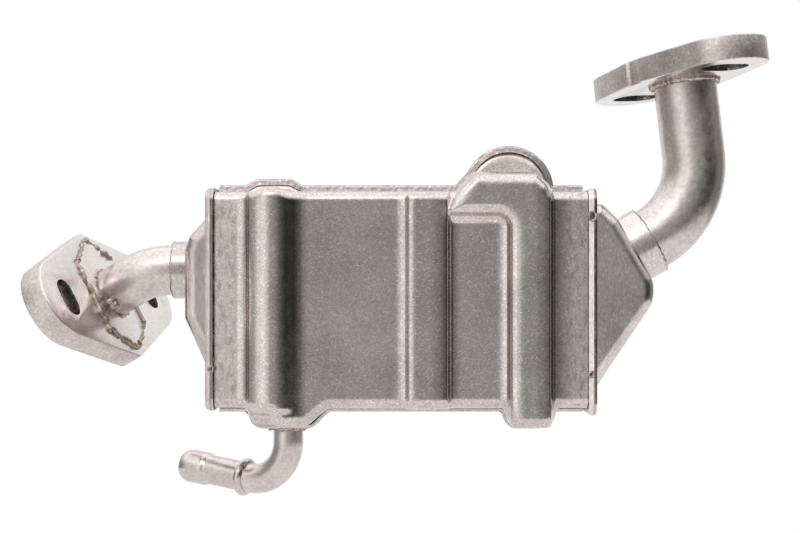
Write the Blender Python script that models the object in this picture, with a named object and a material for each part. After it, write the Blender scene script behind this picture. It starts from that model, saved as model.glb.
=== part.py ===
"""EGR cooler: exhaust gas runs through a stack of flat tubes, coolant round them in a pressed steel case.

Metres, +Z up, +X along the gas flow through the core, the large front face towards -Y.
The origin lies on the mating face of the gas inlet flange, between its bore and its front bolt slot.
"""

import math

import bmesh
import bpy
from mathutils import Matrix, Vector

# Fits between pieces
CLEARANCE = 0.0003
CUT_MARGIN = 0.004

# Case: two pressed halves that lap at the middle plane, Y = 0 of the case
CASE_LENGTH = 0.1392
CASE_HEIGHT = 0.0796
CASE_SHEET = 0.0012
PRESS_RADIUS = 0.0036
LAP_FRONT = 0.0036
LAP_BACK = 0.0030

# Raised and sunk areas of the pressed faces, heights above the plain end panels
GALLERY_RISE = 0.0065
PANEL_RISE = 0.0032
WINDOW_RISE = 0.0010
DRAFT = 0.0008
FLANK_SLOPE = 0.0015
FEATURE_RADIUS = 0.0026
GALLERY_FROM_END = 0.0137
GALLERY_WIDTH = 0.0190
WINDOW_WIDTH = 0.0196
WINDOW_TOP_MARGIN = 0.0086
WINDOW_CORNER = 0.0042
WINDOW_GROOVE = 0.0010
NARROW_PANEL_WIDTH = 0.0140
GROOVE_WIDTH = 0.0026
GALLERY_HUMP = 0.0024
GALLERY_FOOT = 0.0021
HUMP_SLOPE = 0.0055

# Small steps that keep the walls of neighbouring pressings from lying in one plane
GALLERY_TOP_STEP = 0.0007
PANEL_STEP = 0.0001
LOBE_STEP = 0.0002

# Bottom lobes, where the galleries bulge below the case
LOBE_DROP = 0.0062
LEFT_LOBE_WIDTH = 0.0309
LEFT_LOBE_TAPER = 0.0080
RIGHT_LOBE_WIDTH = 0.0190
LOBE_SLOPE = 0.0030
LOBE_RADIUS = 0.0030
LOBE_FACE_SETBACK = 0.0010
LOBE_ROOT = 0.0080

# Coolant outlet dome, at the top of the right gallery
DOME_RADIUS = 0.0149
DOME_FROM_END = 0.0302
DOME_DROP = 0.0005
TONGUE_HEIGHT = 0.0058
TONGUE_WIDTH = 0.0350
TONGUE_CHAMFER = 0.0052
ARM_LEAN = 0.0022
HALF_MOON_HEIGHT = 0.0045

# Header plates, inside the case ends, and the core between them
HEADER_THICKNESS = 0.0020
TUBE_THICKNESS = 0.0070
TUBE_WIDTH = 0.0348
TUBE_SIDE_GAP = 0.0014
TUBE_WALL = 0.0005
NOSE_SHARE = 0.96
COOLANT_GAP = 0.0022
HEADER_MARGIN = 0.0020
TUBE_STAND_OUT = 0.0008
FIN_SHEET = 0.0002
FIN_FOLDS = 5
FIN_LEAN_SHARE = 0.12
FIN_SIDE_GAP = 0.0003
FIN_END_GAP = 0.0030

# Gas tanks: a rim pan that closes the case end, and a cone that leads to the neck
TANK_SHEET = 0.0012
PAN_LENGTH = 0.0029
PAN_PROUD = 0.0009
OUTLET_PAN_DROP = 0.0019
PAN_CORNER = 0.0050
TANK_DEPTH = 0.0340
TANK_EDGE_RADIUS = 0.0045
TANK_CORNER = 0.0020
TANK_FACE_CORNER = 0.0030
TANK_ROOT = 0.0120
INLET_TANK_REACH = 0.0081
INLET_NECK_FROM_TOP = 0.0294
INLET_NECK_LENGTH = 0.0053
INLET_FACE_TOP = 0.0120
INLET_FACE_BEVEL = 0.0048
INLET_SHOULDER_SETBACK = 0.0016
INLET_FACE_BOTTOM = 0.0170
INLET_TANK_FROM_TOP = 0.0103
INLET_LOW_STEP_FROM_BOTTOM = 0.0151
INLET_TANK_FROM_BOTTOM = 0.0055
OUTLET_TANK_REACH = 0.0149
OUTLET_NECK_FROM_TOP = 0.0223
OUTLET_NECK_LENGTH = 0.0075
OUTLET_NECK_TILT = math.radians(30)
OUTLET_FACE_HALF = 0.0128
OUTLET_TANK_FROM_TOP = 0.0056
OUTLET_TANK_SHOULDER = 0.0030
OUTLET_TANK_HEEL = 0.0072
OUTLET_TANK_FROM_BOTTOM = 0.0073

# Gas pipes
GAS_PIPE_WALL = 0.0012
INLET_PIPE_DIAMETER = 0.0184
OUTLET_PIPE_DIAMETER = 0.0230
NECK_SHEET = 0.0010
PIPE_IN_NECK = 0.0060
INLET_BEND_RADIUS = 0.0260
OUTLET_BEND_RADIUS = 0.0320
INLET_CORNER_OUT = 0.0141
OUTLET_CORNER_OUT = 0.0294
INLET_PIPE_LEG = 0.0190
OUTLET_PIPE_LEG = 0.0475

# Gas flanges, each a diamond: a round middle and a round ear over each bolt slot
INLET_FLANGE_THICKNESS = 0.0088
INLET_FLANGE_MIDDLE = 0.0250
INLET_FLANGE_EAR = 0.0156
INLET_FLANGE_CORNER = 0.0050
INLET_BOLT_OFFSET = 0.0310
INLET_SLOT_LENGTH = 0.0140
INLET_SLOT_WIDTH = 0.0088
INLET_FLANGE_NORMAL = Vector((-0.839, 0.265, -0.475))
INLET_FLANGE_LONG = Vector((0.294, 0.956, 0.013))
OUTLET_FLANGE_THICKNESS = 0.0089
OUTLET_FLANGE_MIDDLE = 0.0205
OUTLET_FLANGE_EAR = 0.0156
OUTLET_FLANGE_CORNER = 0.0100
OUTLET_BOLT_OFFSET = 0.0272
OUTLET_SLOT_LENGTH = 0.0180
OUTLET_SLOT_WIDTH = 0.0115
OUTLET_BORE_OFFSET = 0.0029
OUTLET_FLANGE_NORMAL = Vector((-0.105, 0.063, 0.992))
OUTLET_FLANGE_LONG = Vector((0.442, -0.891, 0.103))
PIPE_IN_FLANGE = 0.0060
FLANGE_EDGE_BREAK = 0.0006
PAD_HEIGHT = 0.0007
PAD_HALF_WIDTH = 0.0136
PAD_SIDE_MARGIN = 0.0020
NOTCH_WIDTH = 0.0078
NOTCH_DEPTH = 0.0016
MOUNT_POINT_OFFSET = 0.0165

# Coolant pipes
COOLANT_PIPE_DIAMETER = 0.0112
COOLANT_PIPE_WALL = 0.0010
COOLANT_BEND_RADIUS = 0.0150
COOLANT_PIPE_IN_CASE = 0.0030
COOLANT_INLET_FROM_END = 0.0275
COOLANT_INLET_BACK = 0.0095
COOLANT_INLET_DROP = 0.0243
COOLANT_INLET_LEG = 0.0466
COOLANT_INLET_AIM = Vector((-0.884, 0.451, 0.114))
COOLANT_OUTLET_LENGTH = 0.0300
BEAD_RISE = 0.0016
BEAD_WIDTH = 0.0032
BEAD_FROM_TIP = 0.0274
BARB_RISE = 0.0007
BARB_LENGTH = 0.0115
BARB_RAMP = 0.0017
BARB_NOSE = 0.0023

# Bare steel: colour and roughness of pressed sheet, drawn tube and sawn plate
PRESSED = (0.60, 0.56, 0.54)
PRESSED_ROUGHNESS = 0.42
DRAWN = (0.68, 0.65, 0.63)
DRAWN_ROUGHNESS = 0.30
SAWN = (0.72, 0.69, 0.67)
SAWN_ROUGHNESS = 0.45

# Facets
SHARP_RADIUS = 0.0010
CORNER_STEPS = 3
NOSE_STEPS = 2
EAR_STEPS = 8
EDGE_STEPS = 3
DISC_SIDES = 28
PIPE_SIDES = 18
COOLANT_SIDES = 14
BEND_STEPS = 6
BEAD_STEPS = 6

# The exact solver returns an empty shell from the many rolled blocks that meet in one pressing
PRESSING_SOLVER = "MANIFOLD"

# Lengths that follow from the sizes above
CASE_DEPTH = TUBE_WIDTH + 2 * (TUBE_SIDE_GAP + CASE_SHEET)
HALF_LENGTH = CASE_LENGTH / 2
HALF_HEIGHT = CASE_HEIGHT / 2
HALF_DEPTH = CASE_DEPTH / 2
SHELL_END = HALF_LENGTH - PAN_LENGTH - CLEARANCE
RIM_GROWTH = CLEARANCE + CASE_SHEET
GALLERY_HEIGHT = HALF_DEPTH + GALLERY_RISE
PANEL_HEIGHT = HALF_DEPTH + PANEL_RISE
WINDOW_HEIGHT = HALF_DEPTH + WINDOW_RISE

LEFT_GALLERY_LOW = -HALF_LENGTH + GALLERY_FROM_END
LEFT_GALLERY_HIGH = LEFT_GALLERY_LOW + GALLERY_WIDTH
RIGHT_GALLERY_HIGH = HALF_LENGTH - GALLERY_FROM_END
RIGHT_GALLERY_LOW = RIGHT_GALLERY_HIGH - GALLERY_WIDTH
WINDOW_LOW = RIGHT_GALLERY_LOW - WINDOW_WIDTH
NARROW_LOW = WINDOW_LOW - NARROW_PANEL_WIDTH
MIDDLE_HIGH = NARROW_LOW - GROOVE_WIDTH
DOME_X = HALF_LENGTH - DOME_FROM_END

INLET_NECK_HEIGHT = HALF_HEIGHT - INLET_NECK_FROM_TOP
INLET_TANK_TOP = HALF_HEIGHT - INLET_TANK_FROM_TOP
INLET_TANK_LOW_STEP = HALF_HEIGHT - INLET_LOW_STEP_FROM_BOTTOM
INLET_TANK_BOTTOM = HALF_HEIGHT - INLET_TANK_FROM_BOTTOM
OUTLET_NECK_HEIGHT = HALF_HEIGHT - OUTLET_NECK_FROM_TOP
OUTLET_TANK_TOP = HALF_HEIGHT - OUTLET_TANK_FROM_TOP
OUTLET_TANK_BOTTOM = HALF_HEIGHT - OUTLET_TANK_FROM_BOTTOM

# As many tubes as the height of the header plates holds
HEADER_HEIGHT = CASE_HEIGHT - 2 * (CASE_SHEET + CLEARANCE)
TUBE_PITCH = TUBE_THICKNESS + COOLANT_GAP
TUBE_COUNT = int((HEADER_HEIGHT - 2 * HEADER_MARGIN + COOLANT_GAP) / TUBE_PITCH)


def steel(name, colour, roughness):
    """Bare metal: colour and roughness on a Principled BSDF."""
    material = bpy.data.materials.new(name)
    material.use_nodes = True
    shader = material.node_tree.nodes["Principled BSDF"]
    shader.inputs["Base Color"].default_value = (*colour, 1.0)
    shader.inputs["Metallic"].default_value = 1.0
    shader.inputs["Roughness"].default_value = roughness
    return material


def clear_scene():
    for obj in list(bpy.data.objects):
        bpy.data.objects.remove(obj, do_unlink=True)


def frame_of(origin, normal, long_direction):
    """Matrix whose Z is the normal and whose X is the long direction, squared to it."""
    z = normal.normalized()
    x = (long_direction - long_direction.dot(z) * z).normalized()
    y = z.cross(x)
    rotation = Matrix((x, y, z)).transposed()
    return Matrix.Translation(origin) @ rotation.to_4x4()


# Outlines: each is a function of an inset, so that walls, gaps and rounded edges share one shape


def rounded(corners, radii, corner_steps=CORNER_STEPS):
    """Outline of straight sides and round corners, its corner points in anticlockwise order."""
    points = [Vector(corner) for corner in corners]

    def outline(inset):
        ring = []
        for index, corner in enumerate(points):
            before = (corner - points[index - 1]).normalized()
            after = (points[(index + 1) % len(points)] - corner).normalized()
            normal_before = Vector((-before.y, before.x))
            normal_after = Vector((-after.y, after.x))
            shift = (normal_before + normal_after) / (1 + normal_before.dot(normal_after))
            tip = corner + inset * shift
            turn = math.atan2(before.cross(after), before.dot(after))
            radius = max(radii[index] - math.copysign(inset, turn), CLEARANCE)
            side = math.copysign(1, turn)
            start = tip - before * radius * math.tan(abs(turn) / 2)
            centre = start + side * normal_before * radius
            spoke = start - centre
            steps = corner_steps if radii[index] > SHARP_RADIUS else 1
            for step in range(steps + 1):
                swung = Matrix.Rotation(turn * step / steps, 2) @ spoke
                ring.append(centre + swung)
        return ring

    return outline


def box_outline(left, bottom, right, top, radius, corner_steps=CORNER_STEPS):
    corners = [(left, bottom), (right, bottom), (right, top), (left, top)]
    return rounded(corners, [radius] * 4, corner_steps)


def disc(centre, radius, sides=DISC_SIDES):
    def outline(inset):
        angles = (math.tau * step / sides for step in range(sides))
        reach = radius - inset
        return [Vector((centre[0] + reach * math.cos(a), centre[1] + reach * math.sin(a))) for a in angles]

    return outline


def diamond(middle, ear, offset, corner):
    """Outline of a two-bolt flange: straight sides tangent to a middle disc and two ear discs."""
    lean = math.asin((middle - ear) / offset)
    quarter = math.pi / 2
    height = (middle - corner) / math.cos(lean)
    arcs = [
        ((offset, 0), ear, -quarter + lean, quarter - lean, EAR_STEPS),
        ((0, height), corner, quarter - lean, quarter + lean, CORNER_STEPS),
        ((-offset, 0), ear, quarter + lean, 3 * quarter - lean, EAR_STEPS),
        ((0, -height), corner, 3 * quarter - lean, 3 * quarter + lean, CORNER_STEPS),
    ]

    def outline(inset):
        ring = []
        for centre, radius, first, last, steps in arcs:
            for step in range(steps + 1):
                angle = first + (last - first) * step / steps
                spoke = Vector((math.cos(angle), math.sin(angle)))
                ring.append(Vector(centre) + spoke * (radius - inset))
        return ring

    return outline


# Solids built from outlines


def rounded_top(height, radius, base_inset=0.0):
    """(inset, height) steps of an edge rolled over to a flat top."""
    steps = []
    for step in range(EDGE_STEPS + 1):
        angle = math.pi / 2 * step / EDGE_STEPS
        inset = base_inset + radius * (1 - math.cos(angle))
        steps.append((inset, height - radius * (1 - math.sin(angle))))
    return steps


def lofted(name, outline, levels, place):
    """Closed solid through the outline at each (inset, height) level. place puts (u, v, height) in space."""
    mesh = bmesh.new()
    rings = []
    for inset, height in levels:
        rings.append([mesh.verts.new(place(point.x, point.y, height)) for point in outline(inset)])
    for low, high in zip(rings, rings[1:]):
        for index in range(len(low)):
            after = (index + 1) % len(low)
            mesh.faces.new((low[index], low[after], high[after], high[index]))
    mesh.faces.new(list(reversed(rings[0])))
    mesh.faces.new(rings[-1])
    return finished(name, mesh)


def finished(name, mesh):
    bmesh.ops.remove_doubles(mesh, verts=mesh.verts[:], dist=1e-6)
    bmesh.ops.recalc_face_normals(mesh, faces=mesh.faces[:])
    data = bpy.data.meshes.new(name)
    mesh.to_mesh(data)
    mesh.free()
    obj = bpy.data.objects.new(name, data)
    bpy.context.scene.collection.objects.link(obj)
    return obj


def box_solid(name, low, high):
    mesh = bmesh.new()
    bmesh.ops.create_cube(mesh, size=1.0)
    size = Vector(high) - Vector(low)
    middle = (Vector(high) + Vector(low)) / 2
    for vert in mesh.verts:
        vert.co = Vector(a * b for a, b in zip(vert.co, size)) + middle
    return finished(name, mesh)


def bent_path(points, radius):
    """Straight runs joined by one arc at each inner point, as a tube bender leaves them."""
    path = [points[0].copy()]
    for before, corner, after in zip(points, points[1:], points[2:]):
        arriving = (corner - before).normalized()
        leaving = (after - corner).normalized()
        turn = arriving.angle(leaving)
        axis = arriving.cross(leaving).normalized()
        start = corner - arriving * radius * math.tan(turn / 2)
        centre = start + axis.cross(arriving) * radius
        for step in range(BEND_STEPS + 1):
            swung = Matrix.Rotation(turn * step / BEND_STEPS, 3, axis) @ (start - centre)
            path.append(centre + swung)
    path.append(points[-1].copy())
    return path


def path_tangents(path):
    tangents = []
    for index in range(len(path)):
        before = path[max(index - 1, 0)]
        after = path[min(index + 1, len(path) - 1)]
        tangents.append((after - before).normalized())
    return tangents


def swept_rings(path, sides):
    """Point, side and up directions along a path, turned no more than the path turns."""
    tangents = path_tangents(path)
    side = tangents[0].orthogonal().normalized()
    frames = []
    for point, tangent in zip(path, tangents):
        side = (side - side.dot(tangent) * tangent).normalized()
        frames.append((point, side, tangent.cross(side)))
    angles = [math.tau * step / sides for step in range(sides)]
    return frames, angles


def tube(name, path, outer_radii, inner_radius, sides, straight_points=1):
    """Open-ended tube with an outer radius at each point of its path, the last ones on one straight run."""
    frames, angles = swept_rings(path, sides)
    mesh = bmesh.new()

    def ring(frame, radius):
        point, side, up = frame
        return [mesh.verts.new(point + radius * (math.cos(a) * side + math.sin(a) * up)) for a in angles]

    outer = [ring(frame, radius) for frame, radius in zip(frames, outer_radii)]
    inner = [ring(frame, inner_radius) for frame in frames[:-straight_points] + frames[-1:]]
    loop = outer + inner[::-1]
    for low, high in zip(loop, loop[1:] + loop[:1]):
        for index in range(sides):
            after = (index + 1) % sides
            mesh.faces.new((low[index], low[after], high[after], high[index]))
    return finished(name, mesh)


def rod(name, start, end, radius, sides=PIPE_SIDES):
    """Solid round bar, used to join necks and to cut bores."""
    frames, angles = swept_rings([start, end], sides)
    mesh = bmesh.new()
    rings = []
    for point, side, up in frames:
        spokes = [math.cos(a) * side + math.sin(a) * up for a in angles]
        rings.append([mesh.verts.new(point + radius * spoke) for spoke in spokes])
    for index in range(sides):
        after = (index + 1) % sides
        mesh.faces.new((rings[0][index], rings[0][after], rings[1][after], rings[1][index]))
    mesh.faces.new(rings[0])
    mesh.faces.new(rings[1])
    return finished(name, mesh)


def apply_tool(target, tool, operation, solver):
    """Boolean left on the target, its tool kept as a wire guide."""
    modifier = target.modifiers.new(f"{operation.lower()} {tool.name}", "BOOLEAN")
    modifier.operation = operation
    modifier.solver = solver
    modifier.object = tool
    tool.hide_render = True
    tool.display_type = "WIRE"
    tool.parent = target.parent


def join(target, tools, solver="EXACT"):
    for tool in tools:
        apply_tool(target, tool, "UNION", solver)


def cut(target, tools, solver="EXACT"):
    for tool in tools:
        apply_tool(target, tool, "DIFFERENCE", solver)


def dress(obj, material, root, crease=math.radians(35)):
    """Material, parent and smooth shading with sharp creases."""
    obj.data.materials.append(material)
    obj.data.shade_smooth()
    obj.data.set_sharp_from_angle(angle=crease)
    obj.parent = root


# Case shells


def front_place(u, v, height):
    return Vector((u, -height, v))


def back_place(u, v, height):
    return Vector((u, height, v))


def body_outline():
    reach = HALF_LENGTH + CUT_MARGIN
    return box_outline(-reach, -HALF_HEIGHT, reach, HALF_HEIGHT, CLEARANCE)


def lobe_outline(left, right, right_slope):
    """Trough below a gallery: sloped sides, flat bottom, rooted inside the case."""
    root = -HALF_HEIGHT + LOBE_ROOT
    bottom = -HALF_HEIGHT - LOBE_DROP
    corners = [
        (left, root),
        (left, -HALF_HEIGHT),
        (left + LOBE_SLOPE, bottom),
        (right - right_slope, bottom),
        (right, -HALF_HEIGHT),
        (right, root),
    ]
    radii = [CLEARANCE, CLEARANCE, LOBE_RADIUS, LOBE_RADIUS, CLEARANCE, CLEARANCE]
    return rounded(corners, radii)


def left_lobe():
    return lobe_outline(LEFT_GALLERY_LOW, LEFT_GALLERY_LOW + LEFT_LOBE_WIDTH, LEFT_LOBE_TAPER)


def right_lobe():
    return lobe_outline(RIGHT_GALLERY_LOW, RIGHT_GALLERY_LOW + RIGHT_LOBE_WIDTH, LOBE_SLOPE)


def hump_outline():
    """Where the left gallery rolls over the top edge of the case."""
    top = HALF_HEIGHT + GALLERY_HUMP
    root = HALF_HEIGHT - CUT_MARGIN
    corners = [
        (LEFT_GALLERY_LOW, root),
        (LEFT_GALLERY_HIGH, root),
        (LEFT_GALLERY_HIGH, HALF_HEIGHT),
        (LEFT_GALLERY_HIGH - HUMP_SLOPE, top),
        (LEFT_GALLERY_LOW + HUMP_SLOPE, top),
        (LEFT_GALLERY_LOW, HALF_HEIGHT),
    ]
    return rounded(corners, [CLEARANCE, CLEARANCE, CLEARANCE, HUMP_SLOPE, HUMP_SLOPE, CLEARANCE])


def footprint():
    """Outlines that the two shells share where they lap."""
    return {
        "body": body_outline(),
        "left_lobe": left_lobe(),
        "right_lobe": right_lobe(),
        "hump": hump_outline(),
        "dome": disc((DOME_X, HALF_HEIGHT - DOME_DROP), DOME_RADIUS),
    }


def right_gallery_outline():
    """Upright band with an arm over the window and a tongue up to the dome."""
    arm_bottom = HALF_HEIGHT - WINDOW_TOP_MARGIN
    tongue_top = HALF_HEIGHT + TONGUE_HEIGHT
    arm_left = RIGHT_GALLERY_HIGH - TONGUE_WIDTH
    low = -HALF_HEIGHT - LOBE_DROP + LOBE_FACE_SETBACK
    corners = [
        (RIGHT_GALLERY_LOW, low),
        (RIGHT_GALLERY_HIGH, low),
        (RIGHT_GALLERY_HIGH, HALF_HEIGHT),
        (RIGHT_GALLERY_HIGH - TONGUE_CHAMFER, tongue_top),
        (arm_left + TONGUE_CHAMFER, tongue_top),
        (arm_left, HALF_HEIGHT),
        (arm_left - ARM_LEAN, arm_bottom),
        (RIGHT_GALLERY_LOW, arm_bottom),
    ]
    soft = LOBE_RADIUS
    radii = [soft, soft, soft, soft, soft, soft, soft, WINDOW_CORNER]
    return rounded(corners, radii)


def raised_blocks():
    """Outline and (inset, height) levels of each pressed area."""
    below = HALF_DEPTH / 2
    flank_top = rounded_top(GALLERY_HEIGHT, FEATURE_RADIUS, FLANK_SLOPE)
    gallery_low = -HALF_HEIGHT - GALLERY_FOOT
    gallery_high = HALF_HEIGHT - GALLERY_TOP_STEP
    left_gallery = box_outline(
        LEFT_GALLERY_LOW, gallery_low, LEFT_GALLERY_HIGH, gallery_high, LOBE_RADIUS
    )
    panel_edge = HALF_HEIGHT - PANEL_STEP
    middle = box_outline(
        LEFT_GALLERY_HIGH - DRAFT - FEATURE_RADIUS, -panel_edge, MIDDLE_HIGH, panel_edge, DRAFT
    )
    narrow = box_outline(NARROW_LOW, -panel_edge, WINDOW_LOW, panel_edge, DRAFT)
    window_top = HALF_HEIGHT - WINDOW_TOP_MARGIN - WINDOW_GROOVE
    window = box_outline(
        WINDOW_LOW + WINDOW_GROOVE, -panel_edge, RIGHT_GALLERY_LOW - WINDOW_GROOVE, window_top, WINDOW_CORNER
    )
    panel_levels = [(0.0, below), *rounded_top(PANEL_HEIGHT, PRESS_RADIUS)]
    gallery_levels = [(0.0, below), (0.0, HALF_DEPTH), *flank_top]
    return {
        "left_gallery": (left_gallery, gallery_levels),
        "middle_panel": (middle, panel_levels),
        "narrow_panel": (narrow, panel_levels),
        "window_panel": (window, [(0.0, below), *rounded_top(WINDOW_HEIGHT, WINDOW_RISE)]),
        "right_gallery": (right_gallery_outline(), gallery_levels),
    }


def form_blocks(name, place, inset, root_height, dome_height):
    """Every block of one shell, taken in by the inset: 0 for the outside, the sheet for the inside."""
    shapes = footprint()
    lobe_height = HALF_DEPTH - LOBE_FACE_SETBACK
    tops = {
        "body": (HALF_DEPTH, PRESS_RADIUS),
        "left_lobe": (PANEL_HEIGHT - LOBE_STEP, PRESS_RADIUS),
        "right_lobe": (lobe_height, PRESS_RADIUS),
        "hump": (HALF_DEPTH, GALLERY_HUMP / 2),
        "dome": (dome_height, FEATURE_RADIUS),
    }
    solids = []
    for key, outline in shapes.items():
        height, radius = tops[key]
        levels = [(0.0, root_height), *rounded_top(height, radius)]
        solids.append((key, outline, levels))
    for key, (outline, levels) in raised_blocks().items():
        solids.append((key, outline, levels))
    made = []
    for key, outline, levels in solids:
        moved = [(level_inset + inset, height) for level_inset, height in levels]
        lowered = [(moved[0][0], moved[0][1])] + [(a, h - inset) for a, h in moved[1:]]
        made.append(lofted(f"{name}_{key}", outline, lowered, place))
    return made


def end_cutters(name):
    far = CASE_LENGTH
    tall = CASE_LENGTH
    left = box_solid(f"{name}_left_trim", (-far, -tall, -tall), (-SHELL_END, tall, tall))
    right = box_solid(f"{name}_right_trim", (SHELL_END, -tall, -tall), (far, tall, tall))
    return [left, right]


def front_shell():
    """Front half: its plain rim reaches a little past the middle plane, inside the back rim."""
    outside = form_blocks("front_outside", front_place, 0.0, -LAP_BACK, HALF_MOON_HEIGHT)
    inside = form_blocks("front_inside", front_place, CASE_SHEET, -LAP_BACK - CUT_MARGIN, HALF_MOON_HEIGHT)
    shell = outside[0]
    shell.name = "front_shell"
    join(shell, outside[1:], PRESSING_SOLVER)
    cut(shell, inside + end_cutters("front"), PRESSING_SOLVER)
    return shell


def back_shell():
    """Back half: joggled rim outside the front shell, the dome drawn out to the coolant outlet boss."""
    outside = form_blocks("back_outside", back_place, 0.0, 0.0, GALLERY_HEIGHT)
    inside = form_blocks("back_inside", back_place, CASE_SHEET, -CUT_MARGIN, GALLERY_HEIGHT)
    shell = outside[0]
    shell.name = "back_shell"
    rims = []
    pockets = []
    for key, outline in footprint().items():
        joggle = LAP_BACK + CLEARANCE
        rim_levels = [(-RIM_GROWTH, -LAP_FRONT), (-RIM_GROWTH, joggle), (0.0, LAP_BACK + RIM_GROWTH)]
        rims.append(lofted(f"back_rim_{key}", outline, rim_levels, back_place))
        pocket_levels = [(-CLEARANCE, -LAP_FRONT - CUT_MARGIN), (-CLEARANCE, joggle)]
        pockets.append(lofted(f"back_pocket_{key}", outline, pocket_levels, back_place))
    join(shell, outside[1:] + rims, PRESSING_SOLVER)
    holes = [
        coolant_hole("coolant_inlet_hole", *coolant_inlet_points()[:2]),
        coolant_hole("coolant_outlet_hole", *coolant_outlet_points()),
    ]
    cut(shell, pockets + inside + end_cutters("back") + holes, PRESSING_SOLVER)
    return shell


def coolant_hole(name, start, toward):
    """Cutter for the hole of a coolant pipe, from inside the case to clear of its wall."""
    aim = (toward - start).normalized()
    end = start + aim * (COOLANT_PIPE_IN_CASE + CUT_MARGIN)
    bore = COOLANT_PIPE_DIAMETER / 2 + CLEARANCE
    return rod(name, start - aim * CUT_MARGIN, end, bore, COOLANT_SIDES)


# Core


def end_outline():
    """Plain section of the case across Y and Z, its corners concentric with the pressed edges."""
    return box_outline(-HALF_DEPTH, -HALF_HEIGHT, HALF_DEPTH, HALF_HEIGHT, PRESS_RADIUS + CASE_SHEET)


def tube_heights():
    first = -TUBE_PITCH * (TUBE_COUNT - 1) / 2
    return [first + TUBE_PITCH * index for index in range(TUBE_COUNT)]


def flat_tube_outline(height):
    """Section of a flat tube across Y and Z, its two noses nearly full round."""
    half_width = TUBE_WIDTH / 2
    half_thick = TUBE_THICKNESS / 2
    nose = half_thick * NOSE_SHARE
    return box_outline(-half_width, height - half_thick, half_width, height + half_thick, nose, NOSE_STEPS)


def along_x(u, v, height):
    return Vector((height, u, v))


def gas_tube(number, height):
    reach = SHELL_END + TUBE_STAND_OUT
    outline = flat_tube_outline(height)
    shell = lofted(f"gas_tube_{number}", outline, [(0.0, -reach), (0.0, reach)], along_x)
    far = reach + CUT_MARGIN
    inside = lofted(f"gas_tube_{number}_inside", outline, [(TUBE_WALL, -far), (TUBE_WALL, far)], along_x)
    cut(shell, [inside])
    return shell


def gas_fin(number, height):
    """Folded strip that fills one tube: square folds across Y, straight along the flow."""
    half_rise = TUBE_THICKNESS / 2 - TUBE_WALL - CLEARANCE - FIN_SHEET / 2
    half_span = TUBE_WIDTH / 2 - TUBE_THICKNESS / 2 * NOSE_SHARE - FIN_SIDE_GAP
    pitch = 2 * half_span / (2 * FIN_FOLDS)
    lean = pitch * FIN_LEAN_SHARE
    centre = []
    for fold in range(2 * FIN_FOLDS):
        level = half_rise if fold % 2 else -half_rise
        start = -half_span + pitch * fold
        centre.append(Vector((start + lean, level)))
        centre.append(Vector((start + pitch - lean, level)))
    upper = offset_line(centre, FIN_SHEET / 2)
    lower = offset_line(centre, -FIN_SHEET / 2)
    reach = SHELL_END - FIN_END_GAP
    mesh = bmesh.new()
    rings = []
    for x in (-reach, reach):
        section = upper + lower[::-1]
        rings.append([mesh.verts.new((x, point.x, height + point.y)) for point in section])
    count = len(rings[0])
    for index in range(count):
        after = (index + 1) % count
        mesh.faces.new((rings[0][index], rings[0][after], rings[1][after], rings[1][index]))
    half = count // 2
    for ring in rings:
        for index in range(half - 1):
            mirror = count - 1 - index
            mesh.faces.new((ring[index], ring[index + 1], ring[mirror - 1], ring[mirror]))
    return finished(f"gas_fin_{number}", mesh)


def offset_line(points, distance):
    """Open line moved sideways, mitred at its corners."""
    moved = []
    for index, point in enumerate(points):
        before = (point - points[index - 1]).normalized() if index else None
        last = index == len(points) - 1
        after = None if last else (points[index + 1] - point).normalized()
        first_side = Vector((-(before or after).y, (before or after).x))
        second_side = Vector((-(after or before).y, (after or before).x))
        shift = (first_side + second_side) / (1 + first_side.dot(second_side))
        moved.append(point + distance * shift)
    return moved


def header_plate(name, side):
    """Plate inside the case end, with a slot for each tube."""
    fit = CASE_SHEET + CLEARANCE
    outer = side * SHELL_END
    inner = side * (SHELL_END - HEADER_THICKNESS)
    plate = lofted(name, end_outline(), [(fit, min(outer, inner)), (fit, max(outer, inner))], along_x)
    slots = []
    low = min(outer, inner) - CUT_MARGIN
    high = max(outer, inner) + CUT_MARGIN
    for number, height in enumerate(tube_heights(), 1):
        outline = flat_tube_outline(height)
        levels = [(-CLEARANCE, low), (-CLEARANCE, high)]
        slots.append(lofted(f"{name}_slot_{number}", outline, levels, along_x))
    cut(plate, slots)
    return plate


# Gas tanks


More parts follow.
